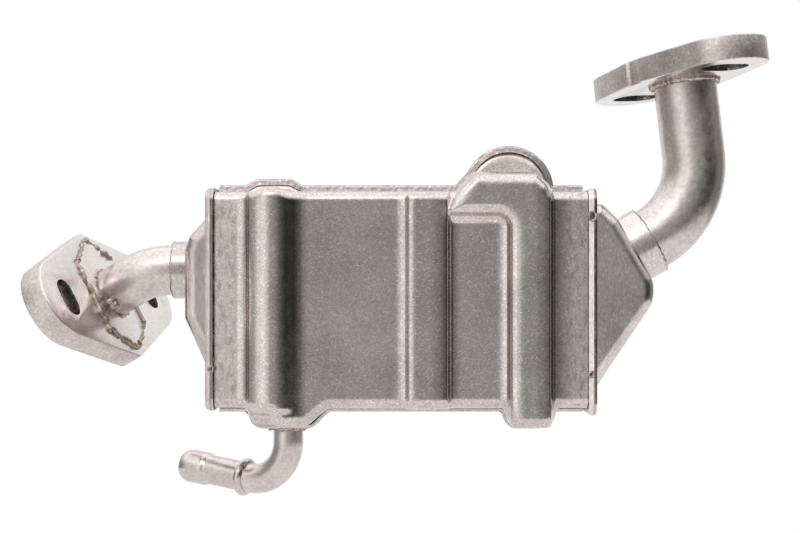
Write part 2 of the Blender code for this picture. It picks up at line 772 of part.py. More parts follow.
def tank(name, corners, radii, side, pan_drop, neck_start, neck_aim, neck_length, pipe_diameter):
    """Folded tank: rim pan, cone with flat front and back and rounded edges, and a round neck."""
    pan_depth = HALF_DEPTH + PAN_PROUD
    pan_top = HALF_HEIGHT
    pan_outline = box_outline(-pan_depth, -pan_top - pan_drop, pan_depth, pan_top, PAN_CORNER)
    pan_start = side * (HALF_LENGTH - PAN_LENGTH)
    pan_end = side * HALF_LENGTH
    pan_floor = side * (HALF_LENGTH - TANK_SHEET)
    pan = lofted(f"{name}_pan", pan_outline, [(0.0, pan_start), (0.0, pan_end)], along_x)
    cavity_levels = [(CASE_SHEET, pan_start - side * CUT_MARGIN), (CASE_SHEET, pan_floor)]
    cavity = lofted(f"{name}_cavity", end_outline(), cavity_levels, along_x)
    half = TANK_DEPTH / 2
    outline = rounded(corners, radii)
    rolled = rounded_top(half, TANK_EDGE_RADIUS)
    levels = [(inset, -height) for inset, height in reversed(rolled)] + rolled
    body = lofted(name, outline, levels, front_place)
    hollow_levels = []
    for inset, height in levels:
        hollow_levels.append((inset + TANK_SHEET, height - math.copysign(TANK_SHEET, height)))
    hollow = lofted(f"{name}_hollow", outline, hollow_levels, front_place)
    neck_inner = pipe_diameter / 2 + CLEARANCE
    neck_outer = neck_inner + NECK_SHEET
    neck_end = neck_start + neck_aim * neck_length
    neck = rod(f"{name}_neck", neck_start - neck_aim * TANK_EDGE_RADIUS, neck_end, neck_outer)
    bore = rod(
        f"{name}_neck_bore", neck_start - neck_aim * (TANK_EDGE_RADIUS + CUT_MARGIN),
        neck_end + neck_aim * CUT_MARGIN, neck_inner,
    )
    tall = CASE_LENGTH
    low = (min(pan_start, -side * CASE_LENGTH), -tall, -tall)
    high = (max(pan_start, -side * CASE_LENGTH), tall, tall)
    trim = box_solid(f"{name}_trim", low, high)
    join(body, [neck, pan])
    cut(body, [cavity, hollow, bore, trim])
    return body


def inlet_neck_start():
    return Vector((-HALF_LENGTH - INLET_TANK_REACH, 0.0, INLET_NECK_HEIGHT))


def inlet_tank():
    face = -HALF_LENGTH - INLET_TANK_REACH
    root = -HALF_LENGTH + TANK_ROOT
    base = -HALF_LENGTH
    shoulder = face + INLET_SHOULDER_SETBACK
    corners = [
        (root, INLET_TANK_TOP),
        (base, INLET_TANK_TOP),
        (shoulder, INLET_NECK_HEIGHT + INLET_FACE_TOP),
        (face, INLET_NECK_HEIGHT + INLET_FACE_TOP - INLET_FACE_BEVEL),
        (face, INLET_NECK_HEIGHT - INLET_FACE_BOTTOM),
        (base, -INLET_TANK_LOW_STEP),
        (base, -INLET_TANK_BOTTOM),
        (root, -INLET_TANK_BOTTOM),
    ]
    edge = TANK_CORNER
    blunt = TANK_FACE_CORNER
    radii = [CLEARANCE, edge, edge, blunt, blunt, edge, CLEARANCE, CLEARANCE]
    aim = Vector((-1.0, 0.0, 0.0))
    start = inlet_neck_start()
    diameter = INLET_PIPE_DIAMETER
    return tank("inlet_tank", corners, radii, -1, 0.0, start, aim, INLET_NECK_LENGTH, diameter)


def outlet_neck_aim():
    return Vector((math.cos(OUTLET_NECK_TILT), 0.0, math.sin(OUTLET_NECK_TILT)))


def outlet_neck_start():
    return Vector((HALF_LENGTH + OUTLET_TANK_REACH, 0.0, OUTLET_NECK_HEIGHT))


def outlet_tank():
    root = HALF_LENGTH - TANK_ROOT
    base = HALF_LENGTH
    aim = outlet_neck_aim()
    slant = Vector((-aim.z, 0.0, aim.x))
    start = outlet_neck_start()
    upper = start + slant * OUTLET_FACE_HALF
    lower = start - slant * OUTLET_FACE_HALF
    corners = [
        (root, -OUTLET_TANK_BOTTOM),
        (base, -OUTLET_TANK_BOTTOM),
        (lower.x, lower.z - OUTLET_TANK_HEEL),
        (lower.x, lower.z),
        (upper.x, upper.z),
        (base + OUTLET_TANK_SHOULDER, OUTLET_TANK_TOP),
        (root, OUTLET_TANK_TOP),
    ]
    edge = TANK_CORNER
    blunt = TANK_FACE_CORNER
    radii = [CLEARANCE, CLEARANCE, blunt, blunt, edge, edge, CLEARANCE]
    diameter = OUTLET_PIPE_DIAMETER
    return tank("outlet_tank", corners, radii, 1, OUTLET_PAN_DROP, start, aim, OUTLET_NECK_LENGTH, diameter)


# Gas pipes and flanges


def inlet_pipe_points():
    neck_end = inlet_neck_start() + Vector((-INLET_NECK_LENGTH, 0.0, 0.0))
    start = neck_end + Vector((PIPE_IN_NECK, 0.0, 0.0))
    corner = inlet_neck_start() + Vector((-INLET_CORNER_OUT, 0.0, 0.0))
    face = corner + INLET_FLANGE_NORMAL.normalized() * INLET_PIPE_LEG
    return start, corner, face


def outlet_pipe_points():
    aim = outlet_neck_aim()
    start = outlet_neck_start() + aim * (OUTLET_NECK_LENGTH - PIPE_IN_NECK)
    corner = outlet_neck_start() + aim * OUTLET_CORNER_OUT
    face = corner + OUTLET_FLANGE_NORMAL.normalized() * OUTLET_PIPE_LEG
    return start, corner, face


def gas_pipe(name, points, bend_radius, diameter):
    start, corner, face = points
    end = face + (face - corner).normalized() * PIPE_IN_FLANGE
    path = bent_path([start, corner, end], bend_radius)
    radius = diameter / 2
    return tube(name, path, [radius] * len(path), radius - GAS_PIPE_WALL, PIPE_SIDES)


def flange_place(u, v, height):
    return Vector((u, v, height))


def slot_tools(name, thickness, length, width, offset):
    """Cutters of the two bolt slots of a flange."""
    levels = [(0.0, -thickness - CUT_MARGIN), (0.0, CUT_MARGIN)]
    half_width = width / 2
    end = half_width * NOSE_SHARE
    tools = []
    for number, centre in enumerate((-offset, offset), 1):
        outline = box_outline(centre - half_width, -length / 2, centre + half_width, length / 2, end)
        tools.append(lofted(f"{name}_slot_{number}", outline, levels, flange_place))
    return tools


def bore_tools(name, thickness, diameter, bore_offset):
    """Cutters of the gas bore of a flange and of the seat of its pipe."""
    bore = diameter / 2 - GAS_PIPE_WALL
    seat = diameter / 2 + CLEARANCE
    seat_floor = -thickness + PIPE_IN_FLANGE + CLEARANCE
    bore_start = Vector((0.0, bore_offset, seat_floor - CLEARANCE))
    bore_end = Vector((0.0, bore_offset, CUT_MARGIN))
    seat_start = Vector((0.0, bore_offset, -thickness - CUT_MARGIN))
    seat_end = Vector((0.0, bore_offset, seat_floor))
    return [rod(f"{name}_bore", bore_start, bore_end, bore), rod(f"{name}_seat", seat_start, seat_end, seat)]


def flange_levels(thickness):
    broken = FLANGE_EDGE_BREAK
    return [(broken, -thickness), (0.0, broken - thickness), (0.0, -broken), (broken, 0.0)]


def inlet_flange_frame():
    _, corner, face = inlet_pipe_points()
    outward = (face - corner).normalized()
    return frame_of(face + outward * INLET_FLANGE_THICKNESS, outward, INLET_FLANGE_LONG)


def outlet_flange_frame():
    _, corner, face = outlet_pipe_points()
    outward = (face - corner).normalized()
    bore_frame = frame_of(face + outward * OUTLET_FLANGE_THICKNESS, outward, OUTLET_FLANGE_LONG)
    return bore_frame @ Matrix.Translation((0.0, -OUTLET_BORE_OFFSET, 0.0))


def inlet_flange(root):
    thickness = INLET_FLANGE_THICKNESS
    shape = diamond(INLET_FLANGE_MIDDLE, INLET_FLANGE_EAR, INLET_BOLT_OFFSET, INLET_FLANGE_CORNER)
    flange = lofted("gas_inlet_flange", shape, flange_levels(thickness), flange_place)
    pad_reach = INLET_FLANGE_MIDDLE - PAD_SIDE_MARGIN
    half = PAD_HALF_WIDTH
    upper = [(half, half), (0.0, pad_reach), (-half, half)]
    lower = [(-half, -half), (0.0, -pad_reach), (half, -half)]
    pad_outline = rounded(upper + lower, [PRESS_RADIUS] * 6)
    pad_levels = [(0.0, PAD_HEIGHT - thickness), (PAD_HEIGHT, -thickness - PAD_HEIGHT)]
    pad = lofted("inlet_flange_pad", pad_outline, pad_levels, flange_place)
    name = "inlet_flange"
    tools = slot_tools(name, thickness, INLET_SLOT_LENGTH, INLET_SLOT_WIDTH, INLET_BOLT_OFFSET)
    tools += bore_tools(name, thickness, INLET_PIPE_DIAMETER, 0.0)
    settle_flange(flange, [pad], tools, root, inlet_flange_frame())
    return flange


def outlet_flange(root):
    thickness = OUTLET_FLANGE_THICKNESS
    middle = OUTLET_FLANGE_MIDDLE
    shape = diamond(middle, OUTLET_FLANGE_EAR, OUTLET_BOLT_OFFSET, OUTLET_FLANGE_CORNER)
    flange = lofted("gas_outlet_flange", shape, flange_levels(thickness), flange_place)
    name = "outlet_flange"
    tools = slot_tools(name, thickness, OUTLET_SLOT_LENGTH, OUTLET_SLOT_WIDTH, OUTLET_BOLT_OFFSET)
    tools += bore_tools(name, thickness, OUTLET_PIPE_DIAMETER, OUTLET_BORE_OFFSET)
    half = NOTCH_WIDTH / 2
    outer = -middle - CUT_MARGIN
    floor = -middle + NOTCH_DEPTH
    notch_corners = [(-half, outer), (half, outer), (half, floor), (-half, floor)]
    notch = rounded(notch_corners, [CLEARANCE, CLEARANCE, NOTCH_DEPTH, NOTCH_DEPTH])
    notch_levels = [(0.0, -thickness - CUT_MARGIN), (0.0, CUT_MARGIN)]
    tools.append(lofted("outlet_flange_notch", notch, notch_levels, flange_place))
    settle_flange(flange, [], tools, root, outlet_flange_frame())
    return flange


def settle_flange(flange, additions, tools, root, frame):
    """Places a flange and its guides together in the flange's own frame."""
    join(flange, additions)
    cut(flange, tools)
    for piece in [flange, *additions, *tools]:
        piece.parent = root
        piece.matrix_local = frame


# Coolant pipes


def coolant_inlet_points():
    """Top end inside the left lobe, bend corner and hose tip of the inlet pipe."""
    x = -HALF_LENGTH + COOLANT_INLET_FROM_END
    floor = -HALF_HEIGHT - LOBE_DROP
    top = Vector((x, COOLANT_INLET_BACK, floor + COOLANT_PIPE_IN_CASE))
    corner = Vector((x, COOLANT_INLET_BACK, floor - COOLANT_INLET_DROP))
    tip = corner + COOLANT_INLET_AIM.normalized() * COOLANT_INLET_LEG
    return top, corner, tip


def coolant_outlet_points():
    """Inner end and hose tip of the straight outlet pipe behind the dome."""
    start = Vector((DOME_X, GALLERY_HEIGHT - COOLANT_PIPE_IN_CASE, HALF_HEIGHT))
    return start, start + Vector((0.0, COOLANT_PIPE_IN_CASE + COOLANT_OUTLET_LENGTH, 0.0))


def hose_end(path, tip):
    """Path and outer radii of a hose end: the bare pipe, its bead and its barbed tip."""
    radius = COOLANT_PIPE_DIAMETER / 2
    aim = (tip - path[-2]).normalized()
    half_bead = BEAD_WIDTH / 2
    stations = []
    for step in range(BEAD_STEPS + 1):
        angle = math.pi * step / BEAD_STEPS
        away = BEAD_FROM_TIP + half_bead * math.cos(angle)
        stations.append((away, BEAD_RISE * math.sin(angle)))
    ramp_top = BARB_LENGTH - BARB_RAMP
    stations += [(BARB_LENGTH, 0.0), (ramp_top, BARB_RISE), (BARB_NOSE, BARB_RISE), (0.0, 0.0)]
    points = path[:-1] + [tip - aim * away for away, _ in stations]
    radii = [radius] * (len(path) - 1) + [radius + rise for _, rise in stations]
    return points, radii


def coolant_pipe(name, path):
    points, radii = hose_end(path, path[-1])
    inner = COOLANT_PIPE_DIAMETER / 2 - COOLANT_PIPE_WALL
    return tube(name, points, radii, inner, COOLANT_SIDES, len(points) - len(path) + 1)


def main():
    clear_scene()
    root = bpy.data.objects.new("cooler_frame", None)
    bpy.context.scene.collection.objects.link(root)
    root.location = -(inlet_flange_frame() @ Vector((-MOUNT_POINT_OFFSET, 0.0, 0.0)))

    def pressed(obj):
        dress(obj, steel(f"{obj.name}_steel", PRESSED, PRESSED_ROUGHNESS), root)

    def drawn(obj):
        dress(obj, steel(f"{obj.name}_steel", DRAWN, DRAWN_ROUGHNESS), root)

    def sawn(obj):
        dress(obj, steel(f"{obj.name}_steel", SAWN, SAWN_ROUGHNESS), root)

    pressed(front_shell())
    pressed(back_shell())
    pressed(header_plate("inlet_header_plate", -1))
    pressed(header_plate("outlet_header_plate", 1))
    for number, height in enumerate(tube_heights(), 1):
        drawn(gas_tube(number, height))
        drawn(gas_fin(number, height))
    pressed(inlet_tank())
    pressed(outlet_tank())
    drawn(gas_pipe("gas_inlet_pipe", inlet_pipe_points(), INLET_BEND_RADIUS, INLET_PIPE_DIAMETER))
    drawn(gas_pipe("gas_outlet_pipe", outlet_pipe_points(), OUTLET_BEND_RADIUS, OUTLET_PIPE_DIAMETER))
    sawn(inlet_flange(root))
    sawn(outlet_flange(root))
    inlet_path = bent_path(list(coolant_inlet_points()), COOLANT_BEND_RADIUS)
    drawn(coolant_pipe("coolant_inlet_pipe", inlet_path))
    drawn(coolant_pipe("coolant_outlet_pipe", list(coolant_outlet_points())))
    for obj in bpy.data.objects:
        if obj.parent is None and obj is not root:
            obj.parent = root


main()
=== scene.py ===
"""Looks of the EGR cooler: smooth pressed case, tanks, bent pipes, thick flanges and weld beads.

Shapes are written in millimetres in the frame of the case, whose centre is CASE_ORIGIN in the row frame.
"""

import math

import bmesh
import bpy
import numpy as np
from mathutils import Matrix, Vector, noise


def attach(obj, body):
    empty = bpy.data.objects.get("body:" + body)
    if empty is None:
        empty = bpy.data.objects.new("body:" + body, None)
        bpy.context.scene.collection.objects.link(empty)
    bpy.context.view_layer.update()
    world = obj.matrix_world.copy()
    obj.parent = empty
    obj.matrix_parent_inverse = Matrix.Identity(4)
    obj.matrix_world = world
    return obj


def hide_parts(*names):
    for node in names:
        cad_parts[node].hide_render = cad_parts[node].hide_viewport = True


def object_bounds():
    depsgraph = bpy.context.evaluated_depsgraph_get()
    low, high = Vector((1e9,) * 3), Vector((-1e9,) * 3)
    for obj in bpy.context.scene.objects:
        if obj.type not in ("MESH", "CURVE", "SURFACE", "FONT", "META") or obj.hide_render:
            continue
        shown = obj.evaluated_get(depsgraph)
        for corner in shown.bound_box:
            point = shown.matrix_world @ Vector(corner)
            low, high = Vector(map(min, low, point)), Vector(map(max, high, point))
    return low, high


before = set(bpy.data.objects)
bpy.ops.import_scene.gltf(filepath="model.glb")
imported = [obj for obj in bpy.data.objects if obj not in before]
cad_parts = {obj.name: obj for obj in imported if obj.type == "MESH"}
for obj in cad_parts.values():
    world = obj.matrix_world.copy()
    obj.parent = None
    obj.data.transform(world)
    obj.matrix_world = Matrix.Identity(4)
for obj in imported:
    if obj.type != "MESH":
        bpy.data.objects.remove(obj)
CAD_BOX = [list(corner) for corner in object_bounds()]

CASE_ORIGIN = Vector((0.1199835, 0.0083997, 0.0030249))
MM = 0.001

# Case, as in the part
HALF_LENGTH = 69.6
HALF_HEIGHT = 39.8
HALF_DEPTH = 20.0
SHEET = 1.2
GAP = 0.3
PRESS_RADIUS = 3.6
SHELL_END = 66.4
GALLERY_HEIGHT = 26.5
MIDDLE_HEIGHT = 22.2
NARROW_HEIGHT = 25.0
WINDOW_HEIGHT = 21.2
LIP_HEIGHT = 18.0
FACE_TOP = 38.4
FACE_BOTTOM = 38.8
LEFT_GALLERY = (-55.9, -36.9)
RIGHT_GALLERY = (36.9, 55.9)
LEFT_LOBE = (LEFT_GALLERY[0], LEFT_GALLERY[0] + 30.9)
LEFT_EDGES = (-54.3, -39.3)
MIDDLE_EDGES = (-46.0, 10.0)
NARROW_EDGES = (2.2, 17.0)
WINDOW_EDGES = (12.0, 44.0)
PANEL_BEND = 2.0
LIP_CORNER = (-42.5, -39.4)
DOME_X = 39.4
DOME_Z = 39.3
DOME_RADIUS = 14.9
DOME_FACE = 14.0
LOBE_BOTTOM = -46.0
HALF_MOON = 4.5
HALF_MOON_TILT = 0.2
FRONT_RIM = -3.0
BACK_RIM = 4.5
ROLL_END = 0.3
RIM_LAP = 1.5
FACE_ROWS = 104
MERGE_DISTANCE = 2e-6


def row_point(point):
    return CASE_ORIGIN + Vector(point) * MM


# Meshes


def mesh_object(name, verts, faces):
    """Mesh object from points in millimetres of the case frame."""
    data = bpy.data.meshes.new(name)
    placed = np.array(verts, float).reshape(-1, 3) * MM + np.array(CASE_ORIGIN)
    data.from_pydata(placed.tolist(), [], faces)
    data.update()
    obj = bpy.data.objects.new(name, data)
    bpy.context.scene.collection.objects.link(obj)
    return obj


def make(name, verts, faces, material, crease=None):
    """Clean and smooth shaded object with its material."""
    obj = mesh_object(name, verts, faces)
    clean(obj)
    obj.data.materials.append(material)
    obj.data.shade_smooth()
    if crease:
        obj.data.set_sharp_from_angle(angle=math.radians(crease))
    return obj


def clean(obj):
    mesh = bmesh.new()
    mesh.from_mesh(obj.data)
    bmesh.ops.remove_doubles(mesh, verts=mesh.verts[:], dist=MERGE_DISTANCE)
    bmesh.ops.dissolve_degenerate(mesh, edges=mesh.edges[:], dist=MERGE_DISTANCE)
    bmesh.ops.recalc_face_normals(mesh, faces=mesh.faces[:])
    mesh.to_mesh(obj.data)
    mesh.free()


def apply_modifiers(obj):
    graph = bpy.context.evaluated_depsgraph_get()
    data = bpy.data.meshes.new_from_object(obj.evaluated_get(graph), depsgraph=graph)
    old = obj.data
    obj.modifiers.clear()
    obj.data = data
    bpy.data.meshes.remove(old)


def boolean(obj, tools, operation):
    for tool in tools:
        modifier = obj.modifiers.new("boolean", "BOOLEAN")
        modifier.operation = operation
        modifier.solver = "EXACT"
        modifier.object = tool
    apply_modifiers(obj)
    for tool in tools:
        bpy.data.objects.remove(tool, do_unlink=True)
    clean(obj)


def turns(count):
    return [math.tau * step / count for step in range(count)]


def around(centre, side, up, radius, angle):
    return centre + radius * (math.cos(angle) * side + math.sin(angle) * up)


def band_faces(rings, sides, joined=False):
    """Quads between closed rings of points; joined links the last ring to the first as well."""
    faces = []
    for ring in range(rings if joined else rings - 1):
        low = ring * sides
        high = (ring + 1) % rings * sides
        for index in range(sides):
            after = (index + 1) % sides
            faces.append((low + index, low + after, high + after, high + index))
    return faces


def end_caps(rings, sides):
    return [tuple(range(sides)), tuple(range((rings - 1) * sides, rings * sides))]


# Outlines in millimetres, each a function of an inset


def rounded(corners, radii, steps=8):
    points = [Vector(corner) for corner in corners]

    def outline(inset=0.0):
        ring = []
        for index, corner in enumerate(points):
            before = (corner - points[index - 1]).normalized()
            after = (points[(index + 1) % len(points)] - corner).normalized()
            normal_before = Vector((-before.y, before.x))
            normal_after = Vector((-after.y, after.x))
            shift = (normal_before + normal_after) / (1 + normal_before.dot(normal_after))
            tip = corner + inset * shift
            turn = math.atan2(before.cross(after), before.dot(after))
            side = math.copysign(1, turn)
            radius = max(radii[index] - math.copysign(inset, turn), GAP)
            start = tip - before * radius * math.tan(abs(turn) / 2)
            centre = start + side * normal_before * radius
            count = steps if radii[index] > 1.0 else 2
            for step in range(count + 1):
                ring.append(centre + Matrix.Rotation(turn * step / count, 2) @ (start - centre))
        return ring

    return outline


def box_outline(left, bottom, right, top, radius, steps=8):
    corners = [(left, bottom), (right, bottom), (right, top), (left, top)]
    return rounded(corners, [radius] * 4, steps)


def diamond(middle, ear, offset, corner):
    steps = 24
    lean = math.asin((middle - ear) / offset)
    quarter = math.pi / 2
    height = (middle - corner) / math.cos(lean)
    arcs = [
        ((offset, 0), ear, -quarter + lean, quarter - lean, steps),
        ((0, height), corner, quarter - lean, quarter + lean, steps // 2),
        ((-offset, 0), ear, quarter + lean, 3 * quarter - lean, steps),
        ((0, -height), corner, 3 * quarter - lean, 3 * quarter + lean, steps // 2),
    ]

    def outline(inset=0.0):
        ring = []
        for centre, radius, first, last, count in arcs:
            for step in range(count + 1):
                angle = first + (last - first) * step / count
                ring.append(Vector(centre) + Vector((math.cos(angle), math.sin(angle))) * (radius - inset))
        return ring

    return outline


def rounded_top(height, radius, base_inset, steps):
    levels = []
    for step in range(steps + 1):
        angle = math.pi / 2 * step / steps
        levels.append((base_inset + radius * (1 - math.cos(angle)), height - radius * (1 - math.sin(angle))))
    return levels


def loft(name, outline, levels, place, material, crease=None):
    rings = [[place(point.x, point.y, height) for point in outline(inset)] for inset, height in levels]
    count = len(rings[0])
    verts = [point for ring in rings for point in ring]
    faces = band_faces(len(rings), count)
    faces.append(tuple(reversed(range(count))))
    faces.append(tuple(range((len(rings) - 1) * count, len(rings) * count)))
    return make(name, verts, faces, material, crease)


def along_x(u, v, height):
    return (height, u, v)


def from_front(u, v, height):
    return (u, -height, v)


def path_frames(path):
    """Point, side and up at each point of a path, turning no more than the path does."""
    frames = []
    side = None
    for index, point in enumerate(path):
        before = path[max(index - 1, 0)]
        after = path[min(index + 1, len(path) - 1)]
        tangent = (after - before).normalized()
        if side is None:
            side = tangent.orthogonal().normalized()
        side = (side - side.dot(tangent) * tangent).normalized()
        frames.append((point, side, tangent.cross(side)))
    return frames


def bent_path(points, radius):
    steps = 26
    path = [points[0].copy()]
    for before, corner, after in zip(points, points[1:], points[2:]):
        arriving = (corner - before).normalized()
        leaving = (after - corner).normalized()
        turn = arriving.angle(leaving)
        axis = arriving.cross(leaving).normalized()
        start = corner - arriving * radius * math.tan(turn / 2)
        centre = start + axis.cross(arriving) * radius
        for step in range(steps + 1):
            path.append(centre + Matrix.Rotation(turn * step / steps, 3, axis) @ (start - centre))
    path.append(points[-1].copy())
    return path


def divided(path, spacing):
    """Path with extra points on its long runs."""
    full = [path[0]]
    for start, end in zip(path, path[1:]):
        count = max(1, round((end - start).length / spacing))
        full += [start.lerp(end, step / count) for step in range(1, count + 1)]
    return full


def tube(name, path, outer, inner, sides, material):
    """Tube along a path; its outer radius is a function of the point's index and the angle."""
    frames = path_frames(path)
    angles = turns(sides)
    verts = []
    for index, (point, side, up) in enumerate(frames):
        verts += [around(point, side, up, outer(index, a), a) for a in angles]
    for point, side, up in reversed(frames):
        verts += [around(point, side, up, inner, a) for a in angles]
    return make(name, verts, band_faces(2 * len(frames), sides, True), material, 50)


def solid_rod(name, path, radius, material):
    sides = 64
    frames = path_frames(path)
    verts = [around(*place, radius, a) for place in frames for a in turns(sides)]
    faces = band_faces(len(frames), sides) + end_caps(len(frames), sides)
    return make(name, verts, faces, material)


def bead(name, path, radius, material, closed=True, lump=0.35, seed=0.0, sides=8, grain=0.9):
    """Weld bead along a path, its radius uneven as a weld's is."""
    count = len(path)
    verts = []
    for index, point in enumerate(path):
        if closed:
            tangent = (path[(index + 1) % count] - path[index - 1]).normalized()
        else:
            tangent = (path[min(index + 1, count - 1)] - path[max(index - 1, 0)]).normalized()
        side = tangent.orthogonal().normalized()
        up = tangent.cross(side)
        taper = 1.0
        if not closed:
            along = index / (count - 1)
            taper = min(1.0, 0.25 + 6 * min(along, 1 - along))
        for a in turns(sides):
            direction = math.cos(a) * side + math.sin(a) * up
            wave = noise.noise((point + direction * radius) * grain + Vector((seed, seed, seed)))
            verts.append(point + direction * radius * taper * (1 + lump * 2 * wave))
    faces = band_faces(count, sides, closed)
    if not closed:
        faces += end_caps(count, sides)
    return make(name, verts, faces, material)


def circle_path(centre, axis, radius):
    side = axis.orthogonal().normalized()
    up = axis.normalized().cross(side)
    return [around(centre, side, up, radius, a) for a in turns(72)]


# Pressed case


def signed_distance(points, ring):
    """Distance of each point from a closed ring, positive inside."""
    ring = np.array([tuple(p) for p in ring], float)
    nearest = np.full(len(points), 1e9)
    inside = np.zeros(len(points), bool)
    for a, b in zip(ring, np.roll(ring, -1, axis=0)):
        edge = b - a
        length = edge @ edge
        if length < 1e-12:
            continue
        relative = points - a
        along = np.clip(relative @ edge / length, 0, 1)
        nearest = np.minimum(nearest, ((relative - along[:, None] * edge) ** 2).sum(1))
        if a[1] != b[1]:
            crosses = (points[:, 1] < a[1]) != (points[:, 1] < b[1])
            where = a[0] + (points[:, 1] - a[1]) * edge[0] / edge[1]
            inside ^= crosses & (points[:, 0] < where)
    return np.where(inside, 1, -1) * np.sqrt(nearest)


def ring_extent(ring, columns, top):
    """Highest or lowest point of a ring at each column."""
    found = np.full(len(columns), -1e9 if top else 1e9)
    ring = [tuple(p) for p in ring]
    for a, b in zip(ring, ring[1:] + ring[:1]):
        low, high = min(a[0], b[0]), max(a[0], b[0])
        if high - low < 1e-9:
            continue
        hit = (columns >= low) & (columns <= high)
        value = a[1] + (columns - a[0]) * (b[1] - a[1]) / (b[0] - a[0])
        better = np.maximum if top else np.minimum
        found[hit] = better(found[hit], value[hit])
    return found


def smooth_max(a, b, width):
    blend = np.maximum(width - np.abs(a - b), 0) / width
    return np.maximum(a, b) + blend * blend * width / 4


def flank(distance, foot, roll, wall=0.0, width=0.9):
    """Share of a step's height: a foot arc outside its edge, a roll arc inside it, a steep wall between."""
    gentle = foot + roll
    below = foot / gentle * np.clip(1 + distance / foot, 0, 1) ** 2
    above = 1 - roll / gentle * np.clip(1 - distance / roll, 0, 1) ** 2
    arcs = np.where(distance < 0, below, above)
    near = np.clip(distance / width, -1, 1)
    steep = 0.5 + near - 0.5 * near * np.abs(near)
    return arcs * (1 - wall) + steep * wall


def raise_to(height, level, share):
    return height + (level - height) * share


def edge_drop(distance, radius):
    turn = np.clip((radius - distance) / radius, 0, 1)
    return radius * (1 - np.sqrt(1 - turn * turn))


def lobe_ring(left, right, left_slope, right_slope, bottom):
    top = -31.0
    shoulder = -FACE_BOTTOM + 1.0
    corners = [
        (left, top), (left, shoulder), (left + left_slope, bottom),
        (right - right_slope, bottom), (right, shoulder), (right, top),
    ]
    return rounded(corners, [GAP, 3.0, 3.6, 4.0, 6.0, GAP])()


def hump_ring(low, high, top):
    corners = [
        (low, 35.0), (high, 35.0), (high, top - 2.6), (high - 4.5, top), (low + 4.5, top), (low, top - 2.6),
    ]
    return rounded(corners, [GAP, GAP, 3.0, 5.0, 5.0, 3.0])()


def tongue_ring(grow=0.0):
    """Right gallery: upright band, arm over the window and tongue up to the dome."""
    low, high, arm_left, arm_bottom, top = 38.4, 53.4, 20.6, 30.2, 44.6
    corners = [
        (low, -60.0), (high, -60.0), (high, 36.0), (high - 1.2, 40.4), (high - 5.6, top),
        (arm_left + 5.4, top), (arm_left + 0.3, 39.0), (arm_left - 4.6, arm_bottom), (low, arm_bottom),
    ]
    radii = [3.0, 3.0, 3.0, 4.0, 3.0, 3.0, 4.0, 1.4, 4.6]
    return rounded(corners, radii, 10)(-grow)


def dome_ring():
    return [(DOME_X + DOME_RADIUS * math.cos(a), DOME_Z + DOME_RADIUS * math.sin(a)) for a in turns(96)]


def column_positions():
    """Columns along X: even, and closer together where the dome rises."""
    spacing, least, dome_steps = 0.42, 0.24, 24
    columns = list(np.arange(-SHELL_END, SHELL_END + 0.01, spacing))
    for step in range(dome_steps + 1):
        columns.append(DOME_X + (DOME_RADIUS + 0.02) * math.cos(math.pi * step / dome_steps))
    columns = sorted(c for c in columns if -SHELL_END <= c <= SHELL_END)
    kept = [columns[0]]
    for c in columns[1:]:
        if c - kept[-1] > least:
            kept.append(c)
    kept[-1] = SHELL_END
    return np.array(kept)


def between(x, edges):
    return flank(x - edges[0], PANEL_BEND, PANEL_BEND) * flank(edges[1] - x, PANEL_BEND, PANEL_BEND)


def end_panels(x):
    """Flat ends of the case: the left one leans in a little towards the rim, the right one out."""
    left_start, left_lean = -57.5, 0.10
    right_start, right_lean = 61.0, 0.06
    leaning = HALF_DEPTH - left_lean * np.clip(left_start - x, 0, None)
    return leaning + right_lean * np.clip(x - right_start, 0, None)


def left_gallery(x, z):
    """Share of the left gallery: round towards its right side, and cut off above the lobe's left corner."""
    band = flank(x - LEFT_EDGES[0], 4.2, 8.6, 0.15) * flank(LEFT_EDGES[1] - x, 6.5, 6.5)
    cut_off = 1 - flank(z + 41.0, 1.2, 5.0, 0.3, 1.4)
    return band * (1 - cut_off * flank(-45.5 - x, 4.5, 4.5))


def right_gallery(points):
    """Share of the right gallery with its arm and tongue; its right side is the steepest."""
    x, z = points[:, 0], points[:, 1]
    inside = signed_distance(points, tongue_ring())
    toward_right = np.clip((x - 44.0) / 6.0, 0, 1) * np.clip((42.0 - z) / 6.0, 0, 1)
    return flank(inside, 4.6 + 2.6 * toward_right, 5.2 + 1.6 * toward_right, 0.5 + 0.22 * toward_right)


def face_height(points, outline, side):
    """Height of the pressed face at each (x, z) point. side is front or back."""
    x, z = points[:, 0], points[:, 1]
    narrow = flank(x - NARROW_EDGES[0], 4.6, 3.2, 0.35) * flank(NARROW_EDGES[1] - x, 4.2, 6.7, 0.5, 1.1)
    lip = flank(LIP_CORNER[0] - x, 5.0, 3.0) * flank(LIP_CORNER[1] - z, 1.0, 1.0)
    height = end_panels(x)
    height = raise_to(height, MIDDLE_HEIGHT, between(x, MIDDLE_EDGES))
    height = raise_to(height, WINDOW_HEIGHT, between(x, WINDOW_EDGES))
    height = raise_to(height, NARROW_HEIGHT, narrow)
    height = raise_to(height, LIP_HEIGHT, lip)
    height = raise_to(height, GALLERY_HEIGHT, left_gallery(x, z))
    height = raise_to(height, GALLERY_HEIGHT, right_gallery(points))
    if side == "back":
        dome = flank(signed_distance(points, dome_ring()), 1.5, 2.6)
        height = np.maximum(height, raise_to(DOME_FACE, GALLERY_HEIGHT, dome))
    return height - edge_drop(signed_distance(points, outline), PRESS_RADIUS)


def boundary_normals(columns, edge):
    """Unit normals, pointing up, of a boundary given column by column."""
    slope = np.gradient(edge, columns)
    length = np.sqrt(1 + slope * slope)
    return -slope / length, 1 / length


def highest(columns, base, rings, widths):
    edge = base
    for ring, width in zip(rings, widths):
        edge = smooth_max(edge, np.maximum(ring_extent(ring, columns, True), 0), width)
    return edge


